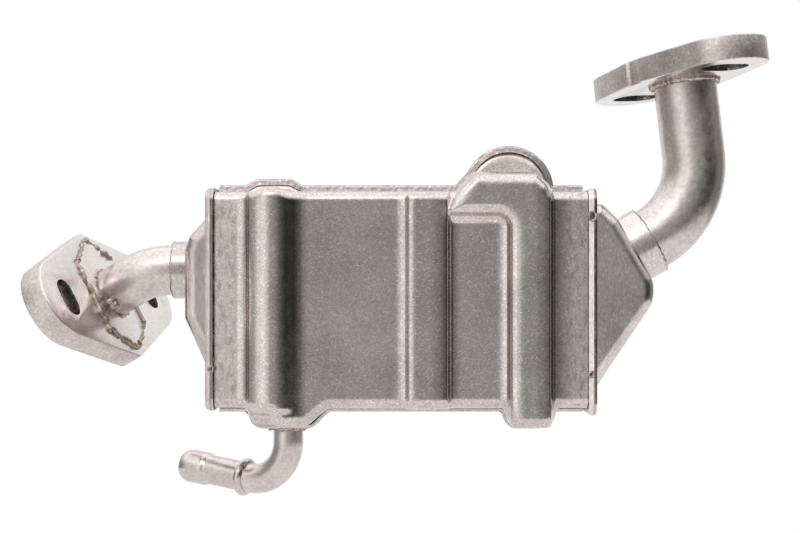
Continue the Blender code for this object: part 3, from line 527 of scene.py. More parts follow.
def lowest(columns, base, rings, width):
    edge = base
    for ring in rings:
        edge = smooth_max(edge, np.maximum(-ring_extent(ring, columns, False), 0), width)
    return -edge


def closed_ring(columns, bottom, top):
    """Boundary of the face, carried on past both ends of the case."""
    far = 20.0
    x = np.concatenate([[columns[0] - far], columns, [columns[-1] + far]])
    bottom, top = np.pad(bottom, 1, "edge"), np.pad(top, 1, "edge")
    return list(zip(x, bottom)) + list(zip(x[::-1], top[::-1]))


def rim_edge(columns, top):
    """Boundary of the rim, where the two halves lap."""
    level = np.full(len(columns), HALF_HEIGHT)
    if top:
        hump = hump_ring(LEFT_GALLERY[0] - 1.0, LEFT_GALLERY[1] + 1.0, HALF_HEIGHT + 2.4)
        return highest(columns, level, [hump, tongue_ring(0.8), dome_ring()], [0.8, 1.2, 2.0])
    lobes = [lobe_ring(*LEFT_LOBE, 3.0, 8.0, LOBE_BOTTOM), lobe_ring(*RIGHT_GALLERY, 3.0, 3.0, LOBE_BOTTOM)]
    return lowest(columns, level, lobes, 1.6)


def face_edge(columns, top, side):
    """Boundary of the pressed face, a little inside the rim because the walls lean."""
    if not top:
        left = lobe_ring(LEFT_LOBE[0] + 0.4, LEFT_LOBE[1], 2.6, 8.6, -45.2)
        right = lobe_ring(RIGHT_GALLERY[0] - 0.6, RIGHT_GALLERY[1] + 0.2, 2.2, 2.2, -45.4)
        return lowest(columns, np.full(len(columns), FACE_BOTTOM), [left, right], 1.6)
    hump = hump_ring(LEFT_GALLERY[0] + 2.2, LEFT_GALLERY[1] - 1.0, 39.7)
    edge = highest(columns, np.full(len(columns), FACE_TOP), [hump, tongue_ring(0.8)], [0.8, 1.6])
    return highest(columns, edge, [dome_ring()], [2.0]) if side == "back" else edge


def face_rows(bottom, top):
    """Rows of points up the face, closer together at its rolled edges."""
    offsets = [0.0, 0.05, 0.18, 0.4, 0.72, 1.12, 1.6, 2.15, 2.8, 3.5, 4.3]
    low = bottom + offsets[-1]
    high = top - offsets[-1]
    rows = [bottom + offset for offset in offsets]
    rows += [low + (high - low) * step / FACE_ROWS for step in range(1, FACE_ROWS)]
    rows += [top - offset for offset in reversed(offsets)]
    return np.array(rows)


def grid_points(columns, rows):
    return np.stack([np.broadcast_to(columns, rows.shape), rows], -1).reshape(-1, 2)


def half_moon(columns, face_top, rim_top):
    """Rows of the front shell's ledge under the dome, and their heights, with a rolled upper edge."""
    shares = (0.0, 0.12, 0.3, 0.5, 0.7, 0.82, 0.9, 0.96, 1.0)
    rows = np.array([face_top + (rim_top - face_top) * share for share in shares])
    points = grid_points(columns, rows)
    outline = closed_ring(columns, np.full(len(columns), -60.0), rim_top)
    rise = points[:, 1] - np.broadcast_to(face_top, rows.shape).reshape(-1)
    heights = HALF_MOON - HALF_MOON_TILT * rise - edge_drop(signed_distance(points, outline), 2.2)
    return rows, heights.reshape(rows.shape)


def shell(side):
    """One pressed half: rim, leaning walls, rolled edges and face, column by column, then its sheet."""
    columns = column_positions()
    level = np.ones(len(columns))
    face_bottom, face_top = face_edge(columns, False, side), face_edge(columns, True, side)
    rim_bottom, rim_top = rim_edge(columns, False), rim_edge(columns, True)
    rows = face_rows(face_bottom, face_top)
    outline = closed_ring(columns, face_bottom, face_top)
    heights = face_height(grid_points(columns, rows), outline, side).reshape(rows.shape)
    heights[0] = heights[1] - ROLL_END
    heights[-1] = heights[-2] - ROLL_END
    path = []

    def station(u, v, h):
        path.append(np.stack([u, v, h], -1))

    def wall(inner, inner_height, outer, outer_height, shares):
        for share in shares:
            height = outer_height + (inner_height - outer_height) * share
            station(columns, outer + (inner - outer) * share, height)

    def lap(edge, outward, section):
        normal_x, normal_z = boundary_normals(columns, edge)
        for grow, depth in section:
            shift = outward * grow
            station(columns + normal_x * shift, edge + normal_z * shift, depth * level)

    section = [(RIM_LAP, -3.6), (RIM_LAP, 0.0), (RIM_LAP, 3.3), (RIM_LAP / 2, 3.9), (0.0, BACK_RIM)]
    if side == "front":
        station(columns, rim_bottom, FRONT_RIM * level)
        wall(face_bottom, heights[0], rim_bottom, 1.0 * level, (0.0, 0.4, 0.8))
    else:
        lap(rim_bottom, -1.0, section)
        wall(face_bottom, heights[0], rim_bottom, BACK_RIM * level, (0.3, 0.6, 0.85))
    for row, height in zip(rows, heights):
        station(columns, row, height)
    if side == "front":
        ledge_rows, ledge = half_moon(columns, face_top, rim_top)
        wall(face_top, heights[-1], ledge_rows[0], ledge[0], (0.85, 0.6, 0.3, 0.08))
        for row, height in zip(ledge_rows, ledge):
            station(columns, row, height)
        for share in (0.5, 1.0):
            station(columns, rim_top, ledge[-1] + (FRONT_RIM - ledge[-1]) * share)
    else:
        wall(face_top, heights[-1], rim_top, BACK_RIM * level, (0.85, 0.6, 0.3))
        lap(rim_top, 1.0, section[::-1])
    sheet(f"{side}_shell", np.array(path), side)


def sheet(node, grid, side):
    """Surface through a grid of stations, thickened inwards to the sheet of the case."""
    direction = -1.0 if side == "front" else 1.0
    verts = np.stack([grid[..., 0], direction * grid[..., 2], grid[..., 1]], -1)
    count = grid.shape[1]
    faces = []
    for row in range(len(grid) - 1):
        for index in range(count - 1):
            a = row * count + index
            quad = (a, a + 1, a + count + 1, a + count)
            faces.append(quad if side == "front" else quad[::-1])
    obj = mesh_object(f"{node}_pressed", verts, faces)
    mesh = bmesh.new()
    mesh.from_mesh(obj.data)
    bmesh.ops.remove_doubles(mesh, verts=mesh.verts[:], dist=2 * MERGE_DISTANCE)
    mesh.to_mesh(obj.data)
    mesh.free()
    thickness = obj.modifiers.new("sheet", "SOLIDIFY")
    thickness.thickness = SHEET * MM
    thickness.offset = -1.0
    apply_modifiers(obj)
    obj.data.materials.append(press_steel)
    obj.data.shade_smooth()
    obj.data.set_sharp_from_angle(angle=math.radians(60))
    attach(obj, "root")
    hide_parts(node)


def seam(top):
    """Brazed fillet between the front shell and the edge of the back shell's rim."""
    columns = column_positions()
    edge = rim_edge(columns, top)
    outward = 1.0 if top else -1.0
    section = [(1.40, 3.3), (1.38, 3.62), (1.0, 3.72), (0.55, 3.80)]
    if top:
        section += [(0.1, 3.86), (-0.75, 4.04), (-0.75, 3.1), (0.6, 3.0)]
    else:
        section += [(0.70, 3.80), (0.62, 3.6), (0.62, 3.1), (0.8, 3.0)]
    normal_x, normal_z = boundary_normals(columns, edge)
    verts = []
    for index, x in enumerate(columns):
        for place, (grow, height) in enumerate(section):
            wave = noise.noise(Vector((x * 0.9, edge[index] * 0.9, place * 0.4 + 17.0 * outward)))
            lump = 0.10 * wave if 1 < place < 6 else 0.0
            shift = outward * grow
            z = edge[index] + normal_z[index] * shift
            verts.append((x + normal_x[index] * shift, -height - lump, z))
    faces = band_faces(len(columns), len(section)) + end_caps(len(columns), len(section))
    obj = make(f"{'top' if top else 'bottom'}_seam_fillet", verts, faces, fillet_steel, crease=70)
    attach(obj, "root")


# Gas tanks

PAN_LAP = 2.9
TANK_HALF_DEPTH = 17.0
TANK_ROLL = 4.5
NECK_WALL = 1.0


def rim_pan(name, side, pan_drop, material):
    """Folded rim that laps outside the end of the case, with a groove pressed along it."""
    depth = HALF_DEPTH + 0.9
    outline = box_outline(-depth, -HALF_HEIGHT - pan_drop, depth, HALF_HEIGHT, 5.0, 12)
    if side > 0:
        profile = [(0.75, 0.0), (0.15, 1.3), (0.0, 1.7), (0.45, 1.95), (0.45, 2.1)]
        profile += [(0.05, 2.35), (0.35, 2.9)]
    else:
        profile = [(0.1, 0.0), (0.0, 0.15), (0.0, 0.8), (0.22, 0.95), (0.22, 1.05)]
        profile += [(0.0, 1.2), (0.1, 1.7), (0.75, 2.9)]
    start = side * (HALF_LENGTH - PAN_LAP)
    levels = [(inset, start + side * along) for inset, along in profile]
    return loft(f"{name}_pan", outline, levels, along_x, material)


def tank(name, corners, radii, side, pan_drop, neck_start, neck_aim, neck_length, pipe_diameter, material):
    """Gas tank: rim pan, body with rolled edges and neck round the pipe, hollow and open to the case."""

    def block(part, outline, levels, place):
        return loft(f"{name}{part}", outline, levels, place, material)

    def rod(part, low, high, radius):
        ends = [neck_start + neck_aim * low, neck_start + neck_aim * high]
        return solid_rod(f"{name}{part}", ends, radius, material)

    pan = rim_pan(name, side, pan_drop, material)
    start = side * (HALF_LENGTH - PAN_LAP)
    case_end = box_outline(-HALF_DEPTH, -HALF_HEIGHT, HALF_DEPTH, HALF_HEIGHT, PRESS_RADIUS + SHEET, 12)
    cavity_levels = [(SHEET, start - side * 4.0), (SHEET, side * (HALF_LENGTH - SHEET))]
    cavity = block("_cavity", case_end, cavity_levels, along_x)
    outline = rounded(corners, radii, 10)
    rolled = rounded_top(TANK_HALF_DEPTH, TANK_ROLL, 0.0, 10)
    levels = [(inset, -height) for inset, height in reversed(rolled)] + rolled
    body = block("", outline, levels, from_front)
    hollow_levels = [(inset + SHEET, height - math.copysign(SHEET, height)) for inset, height in levels]
    hollow = block("_hollow", outline, hollow_levels, from_front)
    inner = pipe_diameter / 2 + GAP
    neck = rod("_neck", -4.5, neck_length, inner + NECK_WALL)
    bore = rod("_bore", -8.5, neck_length + 4.0, inner)
    reach = 100.0
    left, right = sorted((start, -1.4 * side * reach))
    trim_outline = box_outline(left, -reach, right, reach, 0.1)
    trim = block("_trim", trim_outline, [(0.0, -reach), (0.0, reach)], from_front)
    boolean(body, [neck, pan], "UNION")
    boolean(body, [cavity, hollow, bore, trim], "DIFFERENCE")
    body.data.shade_smooth()
    body.data.set_sharp_from_angle(angle=math.radians(38))
    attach(body, "root")
    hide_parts(name.removesuffix("_folded"))


# Materials


class Nodes:
    """Short hand for building the nodes of a material or a world."""

    def __init__(self, owner, coordinates="Object"):
        owner.use_nodes = True
        self.tree = owner.node_tree
        self.place = self.add("ShaderNodeTexCoord").outputs[coordinates]

    def add(self, kind, **values):
        node = self.tree.nodes.new(kind)
        for key, value in values.items():
            setattr(node, key, value)
        return node

    def link(self, source, target):
        self.tree.links.new(source, target)

    def stretched(self, scale, rotation=None):
        place = self.place
        if rotation:
            turning = self.add("ShaderNodeMapping")
            turning.inputs["Rotation"].default_value = rotation
            self.link(place, turning.inputs["Vector"])
            place = turning.outputs["Vector"]
        mapping = self.add("ShaderNodeMapping")
        mapping.inputs["Scale"].default_value = scale
        self.link(place, mapping.inputs["Vector"])
        return mapping.outputs["Vector"]

    def noise(self, vector, scale, detail, rough):
        node = self.add("ShaderNodeTexNoise")
        node.inputs["Scale"].default_value = scale
        node.inputs["Detail"].default_value = detail
        node.inputs["Roughness"].default_value = rough
        self.link(vector, node.inputs["Vector"])
        return node.outputs["Fac"]

    def ramp(self, value, low, high, first=0.0, last=1.0):
        node = self.add("ShaderNodeMapRange")
        node.inputs["From Min"].default_value = low
        node.inputs["From Max"].default_value = high
        node.inputs["To Min"].default_value = first
        node.inputs["To Max"].default_value = last
        self.link(value, node.inputs["Value"])
        return node.outputs["Result"]

    def mix(self, factor, first, second):
        node = self.add("ShaderNodeMix", data_type="RGBA")
        self.link(factor, node.inputs["Factor"])
        for value, target in ((first, node.inputs["A"]), (second, node.inputs["B"])):
            if isinstance(value, tuple):
                target.default_value = (*value, 1.0)
            else:
                self.link(value, target)
        return node.outputs["Result"]

    def math(self, operation, *values):
        node = self.add("ShaderNodeMath", operation=operation)
        for value, target in zip(values, node.inputs):
            if isinstance(value, (int, float)):
                target.default_value = value
            else:
                self.link(value, target)
        return node.outputs["Value"]

    def split(self, vector):
        node = self.add("ShaderNodeSeparateXYZ")
        self.link(vector, node.inputs["Vector"])
        return node.outputs

    def blend(self, share, first, second, output):
        """Mix of two shaders, sent to the output node."""
        node = self.add("ShaderNodeMixShader")
        self.link(share, node.inputs["Fac"])
        self.link(first, node.inputs[1])
        self.link(second, node.inputs[2])
        self.link(node.outputs["Shader"], self.tree.nodes[output].inputs["Surface"])


def steel(
    name, pale, dark, rough=(0.28, 0.42), grain=1500.0, grain_depth=0.00003, stretch=(1, 1, 1),
    cloud=60.0, stain=None, stain_scale=90.0, stain_cut=(0.60, 0.75), speck=0.35, strokes=0.0, ends=None,
):
    """Bare steel: cloudy tint, fine grain, bright specks and short strokes, and stains where asked for.

    ends is the distance from the case's middle, in metres, over which brazing residue sets in.
    """
    material = bpy.data.materials.new(name)
    n = Nodes(material)
    shader = n.tree.nodes["Principled BSDF"]
    shader.inputs["Metallic"].default_value = 1.0
    fine_place = n.stretched(stretch)
    fine = n.noise(fine_place, grain, 3.0, 0.62)
    clouds = n.noise(n.place, cloud, 3.0, 0.55)
    grain_share = n.ramp(fine, 0.34, 0.66)
    cloud_share = n.ramp(clouds, 0.35, 0.65)
    share = n.math("ADD", n.math("MULTIPLY", grain_share, 0.62), n.math("MULTIPLY", cloud_share, 0.38))
    colour = n.mix(share, dark, pale)
    specks = n.noise(fine_place, grain * 0.72, 1.0, 0.4)
    bright = n.ramp(specks, 0.64, 0.72, 0.0, speck)
    colour = n.mix(bright, colour, (0.98, 0.94, 0.92))
    for turn in (0.5, -0.8, 1.5, 2.3) if strokes else ():
        stroke_place = n.stretched((1.0, 1.0, 0.2), (0.0, turn, 0.0))
        stroke = n.ramp(n.noise(stroke_place, grain * 1.5, 1.0, 0.3), 0.68, 0.74, 0.0, strokes)
        colour = n.mix(stroke, colour, (0.98, 0.95, 0.93))
    if stain:
        patches = n.noise(n.place, stain_scale, 4.0, 0.6)
        colour = n.mix(n.ramp(patches, *stain_cut, 0.0, 0.85), colour, stain)
    uneven = n.noise(n.place, cloud * 3.1, 3.0, 0.6)
    roughness = n.ramp(uneven, 0.3, 0.7, *rough)
    if ends:
        from_middle = n.math("ABSOLUTE", n.math("SUBTRACT", n.split(n.place)["X"], CASE_ORIGIN.x))
        near_end = n.ramp(from_middle, *ends)
        blotches = n.noise(n.stretched((1.0, 1.0, 0.45)), 520.0, 5.0, 0.75)
        residue = n.math("MULTIPLY", near_end, n.ramp(blotches, 0.49, 0.62, 0.0, 0.75))
        colour = n.mix(n.math("MULTIPLY", near_end, 0.22), colour, (0.84, 0.76, 0.73))
        colour = n.mix(residue, colour, (0.36, 0.31, 0.285))
        roughness = n.math("ADD", roughness, n.math("MULTIPLY", near_end, 0.08))
    n.link(colour, shader.inputs["Base Color"])
    n.link(roughness, shader.inputs["Roughness"])
    bump = n.add("ShaderNodeBump")
    bump.inputs["Distance"].default_value = grain_depth
    n.link(fine, bump.inputs["Height"])
    n.link(bump.outputs["Normal"], shader.inputs["Normal"])
    return material


press_steel = steel(
    "pressed_steel_look", (0.72, 0.635, 0.615), (0.42, 0.368, 0.355), (0.15, 0.22), 1500.0, 0.000006,
    strokes=0.5, ends=(0.0565, 0.0595),
)
tank_steel = steel(
    "tank_steel_look", (0.64, 0.575, 0.56), (0.44, 0.39, 0.375), (0.20, 0.28), 1500.0, 0.000005,
    (1, 1, 0.25),
)
outlet_tank_steel = steel(
    "outlet_tank_steel_look", (0.80, 0.715, 0.695), (0.50, 0.44, 0.425), (0.18, 0.28), 1500.0, 0.000006,
    (1, 1, 0.4), strokes=0.3,
)
pipe_steel = steel(
    "pipe_steel_look", (0.74, 0.665, 0.645), (0.50, 0.44, 0.42), (0.24, 0.36), 700.0, 0.000004, cloud=120.0,
    speck=0.1, stain=(0.36, 0.31, 0.285), stain_scale=60.0, stain_cut=(0.60, 0.80),
)
hose_steel = steel(
    "hose_pipe_steel_look", (0.68, 0.61, 0.59), (0.50, 0.445, 0.425), (0.20, 0.27), 900.0, 0.000002,
    cloud=110.0, speck=0.05, stain=(0.34, 0.295, 0.275), stain_scale=80.0, stain_cut=(0.60, 0.82),
)
plate_face = steel(
    "plate_face_look", (0.84, 0.785, 0.765), (0.68, 0.62, 0.60), (0.20, 0.30), 900.0, 0.000004, (0.2, 1, 1),
    70.0, speck=0.1,
)
plate_side = steel(
    "plate_side_look", (0.74, 0.67, 0.645), (0.42, 0.375, 0.355), (0.34, 0.48), 1100.0, 0.00002, cloud=110.0,
    speck=0.3,
)
# Near-black steel for the flanges' slot walls: painted shade inside the slots.
slot_painted_shade_steel = steel(
    "slot_wall_painted_shade_look", (0.30, 0.27, 0.255), (0.06, 0.052, 0.05), (0.25, 0.4), 1100.0, 0.00005, cloud=260.0,
    speck=0.5,
)
weld_steel = steel(
    "weld_steel_look", (0.66, 0.58, 0.53), (0.28, 0.23, 0.20), (0.25, 0.45), 900.0, 0.00005, cloud=260.0,
    stain=(0.10, 0.075, 0.06), stain_scale=420.0,
)
fillet_steel = steel(
    "fillet_steel_look", (0.74, 0.66, 0.64), (0.44, 0.385, 0.37), (0.25, 0.38), 1300.0, 0.00002, cloud=200.0,
)
braze_steel = steel(
    "braze_line_look", (0.52, 0.43, 0.36), (0.28, 0.22, 0.17), (0.35, 0.5), 900.0, 0.00005, cloud=260.0,
)
# Near-black fill for the small pits in the weld marks.
dark_pit_fill = steel(
    "dark_pit_fill_look", (0.16, 0.13, 0.12), (0.04, 0.033, 0.03), (0.3, 0.5), 1200.0, 0.00004, cloud=300.0,
    speck=0.1,
)
core_steel = steel("core_steel_look", (0.64, 0.58, 0.56), (0.45, 0.40, 0.385), (0.3, 0.42), 900.0, 0.00002)


# Case

shell("front")
shell("back")
seam(True)
seam(False)

for name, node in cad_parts.items():
    if name.startswith(("gas_tube", "gas_fin")) or name.endswith("header_plate"):
        node.data.materials.clear()
        node.data.materials.append(core_steel)

# Tanks

INLET_PIPE = 18.4
INLET_NECK_Z = 10.4
inlet_face = -HALF_LENGTH - 8.1
inlet_corners = [
    (-57.6, 29.5), (-HALF_LENGTH, 29.5), (inlet_face + 1.6, INLET_NECK_Z + 12.0),
    (inlet_face, INLET_NECK_Z + 7.2), (inlet_face, INLET_NECK_Z - 17.0),
    (-HALF_LENGTH, -24.7), (-HALF_LENGTH, -34.3), (-57.6, -34.3),
]
inlet_start = Vector((inlet_face, 0.0, INLET_NECK_Z))
inlet_aim = Vector((-1.0, 0.0, 0.0))
tank(
    "inlet_tank_folded", inlet_corners, [GAP, 2.0, 2.0, 3.0, 3.0, 2.0, GAP, GAP], -1, 0.0, inlet_start,
    inlet_aim, 5.3, INLET_PIPE, tank_steel,
)

OUTLET_PIPE = 23.0
OUTLET_FACE_HALF = 12.8
outlet_aim = Vector((math.cos(math.radians(30)), 0.0, math.sin(math.radians(30))))
outlet_slant = Vector((-outlet_aim.z, 0.0, outlet_aim.x))
outlet_start = Vector((HALF_LENGTH + 14.9, 0.0, 17.5))
upper = outlet_start + outlet_slant * OUTLET_FACE_HALF
lower = outlet_start - outlet_slant * OUTLET_FACE_HALF
outlet_corners = [
    (57.6, -32.5), (HALF_LENGTH, -32.5), (lower.x, lower.z - 7.2), (lower.x, lower.z), (upper.x, upper.z),
    (HALF_LENGTH + 3.0, 34.2), (57.6, 34.2),
]
tank(
    "outlet_tank_folded", outlet_corners, [GAP, GAP, 10.0, 9.0, 3.0, 3.0, GAP], 1, 1.9, outlet_start,
    outlet_aim, 7.5, OUTLET_PIPE, outlet_tank_steel,
)

# Gas pipes

INLET_PLATE = 8.8
OUTLET_PLATE = 8.9
OUTLET_BORE_SHIFT = 2.9
PIPE_WALL = 1.2


def flange_frame(origin, along_slots, normal):
    """Frame of a flange: X along the line of its slots, Z out of its mating face."""
    across = Vector(normal).cross(Vector(along_slots))
    turn = Matrix((along_slots, across, normal)).transposed()
    return Matrix.Translation(origin) @ turn.to_4x4()


INLET_FRAME = flange_frame(
    (-115.1269, 7.3678, -2.8065), (0.2943392, 0.9556094, 0.0132335), (-0.8390961, 0.2650303, -0.4750544),
)
OUTLET_FRAME = flange_frame(
    (101.4529, 2.2513, 87.9845), (0.4419937, -0.8910419, 0.1033719), (-0.1050494, 0.0630297, 0.9924676),
)


def gas_pipe(node, start, corner, flange_side, bend_radius, diameter, seed):
    """Bent pipe from inside the tank's neck to its seat in the flange, very slightly uneven."""
    seat_depth, uneven = 6.0, 0.004
    end = flange_side + (flange_side - corner).normalized() * seat_depth
    path = divided(bent_path([start, corner, end], bend_radius), 1.2)
    radius = diameter / 2

    def outer(index, angle):
        where = path[index] * 0.11 + Vector((seed, math.cos(angle), math.sin(angle)))
        return radius * (1 - uneven + uneven * noise.noise(where))

    obj = tube(f"{node}_drawn", path, outer, radius - PIPE_WALL, 72, pipe_steel)
    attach(obj, "root")
    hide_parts(node)


gas_pipe(
    "gas_inlet_pipe", inlet_start - inlet_aim * 0.7, inlet_start + inlet_aim * 14.1,
    INLET_FRAME @ Vector((0, 0, -INLET_PLATE)), 26.0, INLET_PIPE, 3.0,
)
gas_pipe(
    "gas_outlet_pipe", outlet_start + outlet_aim * 1.5, outlet_start + outlet_aim * 29.4,
    OUTLET_FRAME @ Vector((0, OUTLET_BORE_SHIFT, -OUTLET_PLATE)), 32.0, OUTLET_PIPE, 8.0,
)

# Gas flanges


def in_frame(matrix):
    def place(u, v, height):
        return matrix @ Vector((u, v, height))

    return place


def flange(node, outline, thickness, matrix, slots, bore, notch=None):
    """Plate with two slots, a bore with a seat for the pipe, and a notch where asked for."""
    name = f"{node}_plate"
    place = in_frame(matrix)
    edge = rounded_top(0.0, 0.7, 0.13, 4)
    levels = [(inset, -thickness - height) for inset, height in reversed(edge)] + edge
    obj = loft(name, outline, levels, place, plate_face)
    through = [(0, -thickness - 4), (0, 4)]
    length, width, offset = slots
    half = width / 2
    tools = []
    for number, centre in enumerate((-offset, offset)):
        hole = box_outline(centre - half, -length / 2, centre + half, length / 2, half * 0.96, 14)
        tools.append(loft(f"{name}_slot_{number}", hole, through, place, plate_side))
    diameter, bore_offset = bore
    for part, radius, low, high in (
        ("seat", diameter / 2 + GAP, -thickness - 4, -thickness + 6.3),
        ("through", diameter / 2 - PIPE_WALL, -thickness + 6.0, 4),
    ):
        axis = [matrix @ Vector((0, bore_offset, height)) for height in (low, high)]
        tools.append(solid_rod(f"{name}_{part}", axis, radius, plate_side))
    if notch:
        tools.append(loft(f"{name}_notch", notch, through, place, plate_side))
    boolean(obj, tools, "DIFFERENCE")
    dress_plate(obj, matrix, offset, length / 2 + 1.0)
    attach(obj, "root")
    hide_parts(node)


def dress_plate(obj, matrix, slot_offset, slot_reach):
    """Bevels the hole edges and gives the cut sides their own look, and the slot walls a near-black look
    that is painted shade inside the slots.
    """
    mesh = bmesh.new()
    mesh.from_mesh(obj.data)
    sharp = [e for e in mesh.edges if len(e.link_faces) == 2 and e.calc_face_angle(0) > math.radians(60)]
    bmesh.ops.bevel(
        mesh, geom=sharp, offset=0.00035, offset_type="OFFSET", segments=2, profile=0.5, affect="EDGES",
        clamp_overlap=True,
    )
    normal = matrix.to_3x3() @ Vector((0, 0, 1))
    inverse = matrix.inverted()
    for polygon in mesh.faces:
        polygon.material_index = 0 if abs(polygon.normal.dot(normal)) > 0.7 else 1
        place = inverse @ (polygon.calc_center_median() / MM - CASE_ORIGIN / MM)
        # Slot wall faces take the near-black look, painted shade inside the slots.
        if polygon.material_index == 1 and math.hypot(abs(place.x) - slot_offset, place.y) < slot_reach:
            polygon.material_index = 2
    obj.data.materials.clear()
    for material in (plate_face, plate_side, slot_painted_shade_steel):
        obj.data.materials.append(material)
    mesh.to_mesh(obj.data)
    mesh.free()
    obj.data.shade_smooth()
    for polygon in obj.data.polygons:
        if abs(polygon.normal.dot(normal)) > 0.995:
            polygon.use_smooth = False
    obj.data.set_sharp_from_angle(angle=math.radians(30))


flange(
    "gas_inlet_flange", diamond(25.0, 15.6, 31.0, 5.0), INLET_PLATE, INLET_FRAME, (14.0, 8.8, 31.0),
    (INLET_PIPE, 0.0),
)
pad_corners = [(13.6, 13.6), (0.0, 23.0), (-13.6, 13.6), (-13.6, -13.6), (0.0, -23.0), (13.6, -13.6)]
pad_outline = rounded(pad_corners, [3.6] * 6, 8)
pad_edge = [(0.0, -8.3), (0.0, -9.2), (0.2, -9.42), (0.5, -9.5)]
pad_place = in_frame(INLET_FRAME)
pad = loft("gas_inlet_flange_pad", pad_outline, pad_edge, pad_place, plate_face, 30)
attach(pad, "root")
pad_line = [INLET_FRAME @ Vector((p.x, p.y, -8.95)) for p in pad_outline(-0.1)]
notch = rounded([(-3.9, -24.5), (3.9, -24.5), (3.9, -18.9), (-3.9, -18.9)], [GAP, GAP, 1.6, 1.6], 6)
flange(
    "gas_outlet_flange", diamond(20.5, 15.6, 27.2, 10.0), OUTLET_PLATE, OUTLET_FRAME, (18.0, 11.5, 27.2),
    (OUTLET_PIPE, OUTLET_BORE_SHIFT), notch,
)

# Coolant pipes

HOSE_RADIUS = 5.6
HOSE_WALL = 1.0
HOSE_BEND = 15.0
# Distance of the hose bead's middle from the tip, and its half width and rise
BEAD_AWAY, BEAD_HALF, BEAD_RISE = 27.4, 1.6, 1.57


def hose_profile():
    """Distance from the tip and rise over the pipe, from the hose bead to the barb's rounded end."""
    profile = []
    for away in np.arange(BEAD_AWAY + 2.0, BEAD_AWAY - 2.0, -0.2):
        share = (away - BEAD_AWAY) / BEAD_HALF
        profile.append((away, BEAD_RISE * math.sqrt(max(0.0, 1 - share * share))))
    profile += [(18.0, 0.0), (12.2, 0.0), (11.5, 0.02), (11.0, 0.3), (10.2, 0.62), (9.4, 0.7)]
    profile += [(8.0, 0.66), (6.0, 0.68), (4.2, 0.7), (3.0, 0.66), (2.0, 0.5)]
    return profile + [(1.1, 0.15), (0.5, -0.2), (0.15, -0.42), (0.0, -0.6)]


def hose_pipe(node, points):
    tip = points[-1]
    path = bent_path(points, HOSE_BEND)
    aim = (tip - path[-2]).normalized()
    profile = hose_profile()
    straight = [tip - aim * away for away, _ in profile]
    lead = divided(path[:-1] + [straight[0] - aim * 0.5], 1.0)
    radii = [HOSE_RADIUS] * len(lead) + [HOSE_RADIUS + rise for _, rise in profile]

    def outer(index, angle):
        return radii[index]

    obj = tube(f"{node}_drawn", lead + straight, outer, HOSE_RADIUS - HOSE_WALL, 56, hose_steel)
    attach(obj, "root")
    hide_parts(node)


hose_pipe(
    "coolant_inlet_pipe",
    [Vector((-42.1, 9.5, -43.0)), Vector((-42.1, 9.5, -70.3)), Vector((-83.3387, 30.5392, -64.9819))],
)
hose_pipe("coolant_outlet_pipe", [Vector((39.4, 23.5, 39.8)), Vector((39.4, 56.5, 39.8))])

# Weld beads


def weld(name, path, radius, material=weld_steel, **how):
    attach(bead(name, path, radius, material, **how), "root")


inlet_normal = INLET_FRAME.to_3x3() @ Vector((0, 0, 1))
outlet_normal = OUTLET_FRAME.to_3x3() @ Vector((0, 0, 1))
inlet_weld = INLET_FRAME @ Vector((0, 0, -8.9))
outlet_weld = OUTLET_FRAME @ Vector((0, OUTLET_BORE_SHIFT, -9.0))
weld("inlet_pipe_flange_weld", circle_path(inlet_weld, inlet_normal, 9.7), 1.0, seed=2.0)
weld("inlet_pad_braze", divided(pad_line, 0.9), 0.95, braze_steel, seed=31.0, lump=0.6, grain=0.5)
weld("outlet_pipe_flange_weld", circle_path(outlet_weld, outlet_normal, 11.9), 1.1, seed=5.0)
lump_start = INLET_FRAME @ Vector((-8.0, 5.0, -9.4))
lump_path = [lump_start + inlet_normal * (-0.9 * step) for step in range(6)]
weld("inlet_pipe_flange_lump", lump_path, 2.3, seed=51.0, closed=False, lump=0.6, grain=0.75, sides=20)
weld("inlet_neck_weld", circle_path(inlet_start + inlet_aim * 5.4, inlet_aim, 9.9), 0.6, seed=7.0)
weld("outlet_neck_weld", circle_path(outlet_start + outlet_aim * 7.6, outlet_aim, 12.2), 0.6, seed=9.0)
inlet_collar = circle_path(Vector((-42.1, 9.5, -48.1)), Vector((0, 0, 1)), 6.1)
outlet_collar = circle_path(Vector((39.4, 27.0, 39.8)), Vector((0, 1, 0)), 6.0)
weld("coolant_inlet_collar", inlet_collar, 1.2, seed=11.0, lump=0.55)
weld("coolant_outlet_collar", outlet_collar, 1.0, seed=13.0)

# Small marks: weld dots, pits and spatter


def mark(name, centre, normal, width, height, rim, core):
    """Oval of weld round a small dark pit, on a face with the given normal."""
    normal = normal.normalized()
    side = Vector((0, 0, 1)).cross(normal).normalized()
    up = normal.cross(side)

    def spot(a, reach=1.0):
        return centre + side * (width / 2 * reach * math.cos(a)) + up * (height / 2 * reach * math.sin(a))

    weld(f"{name}_ring", [spot(a) for a in turns(28)], rim, seed=centre.z, lump=0.45, grain=1.6, sides=10)
    rows, around_pit = 5, 24
    verts = [centre + normal * core]
    for row in range(1, rows + 1):
        reach = row / rows
        for a in turns(around_pit):
            point = spot(a, reach)
            verts.append(point + normal * (core * (1 - reach ** 2) + 0.12 * noise.noise(point * 1.7)))
    verts += [point - normal * 0.5 for point in verts[-around_pit:]]
    faces = [(0, 1 + step, 1 + (step + 1) % around_pit) for step in range(around_pit)]
    faces += [tuple(1 + index for index in quad) for quad in band_faces(rows + 1, around_pit)]
    faces.append(tuple(1 + rows * around_pit + step for step in reversed(range(around_pit))))
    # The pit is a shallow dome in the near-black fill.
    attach(make(f"{name}_pit", verts, faces, dark_pit_fill), "root")


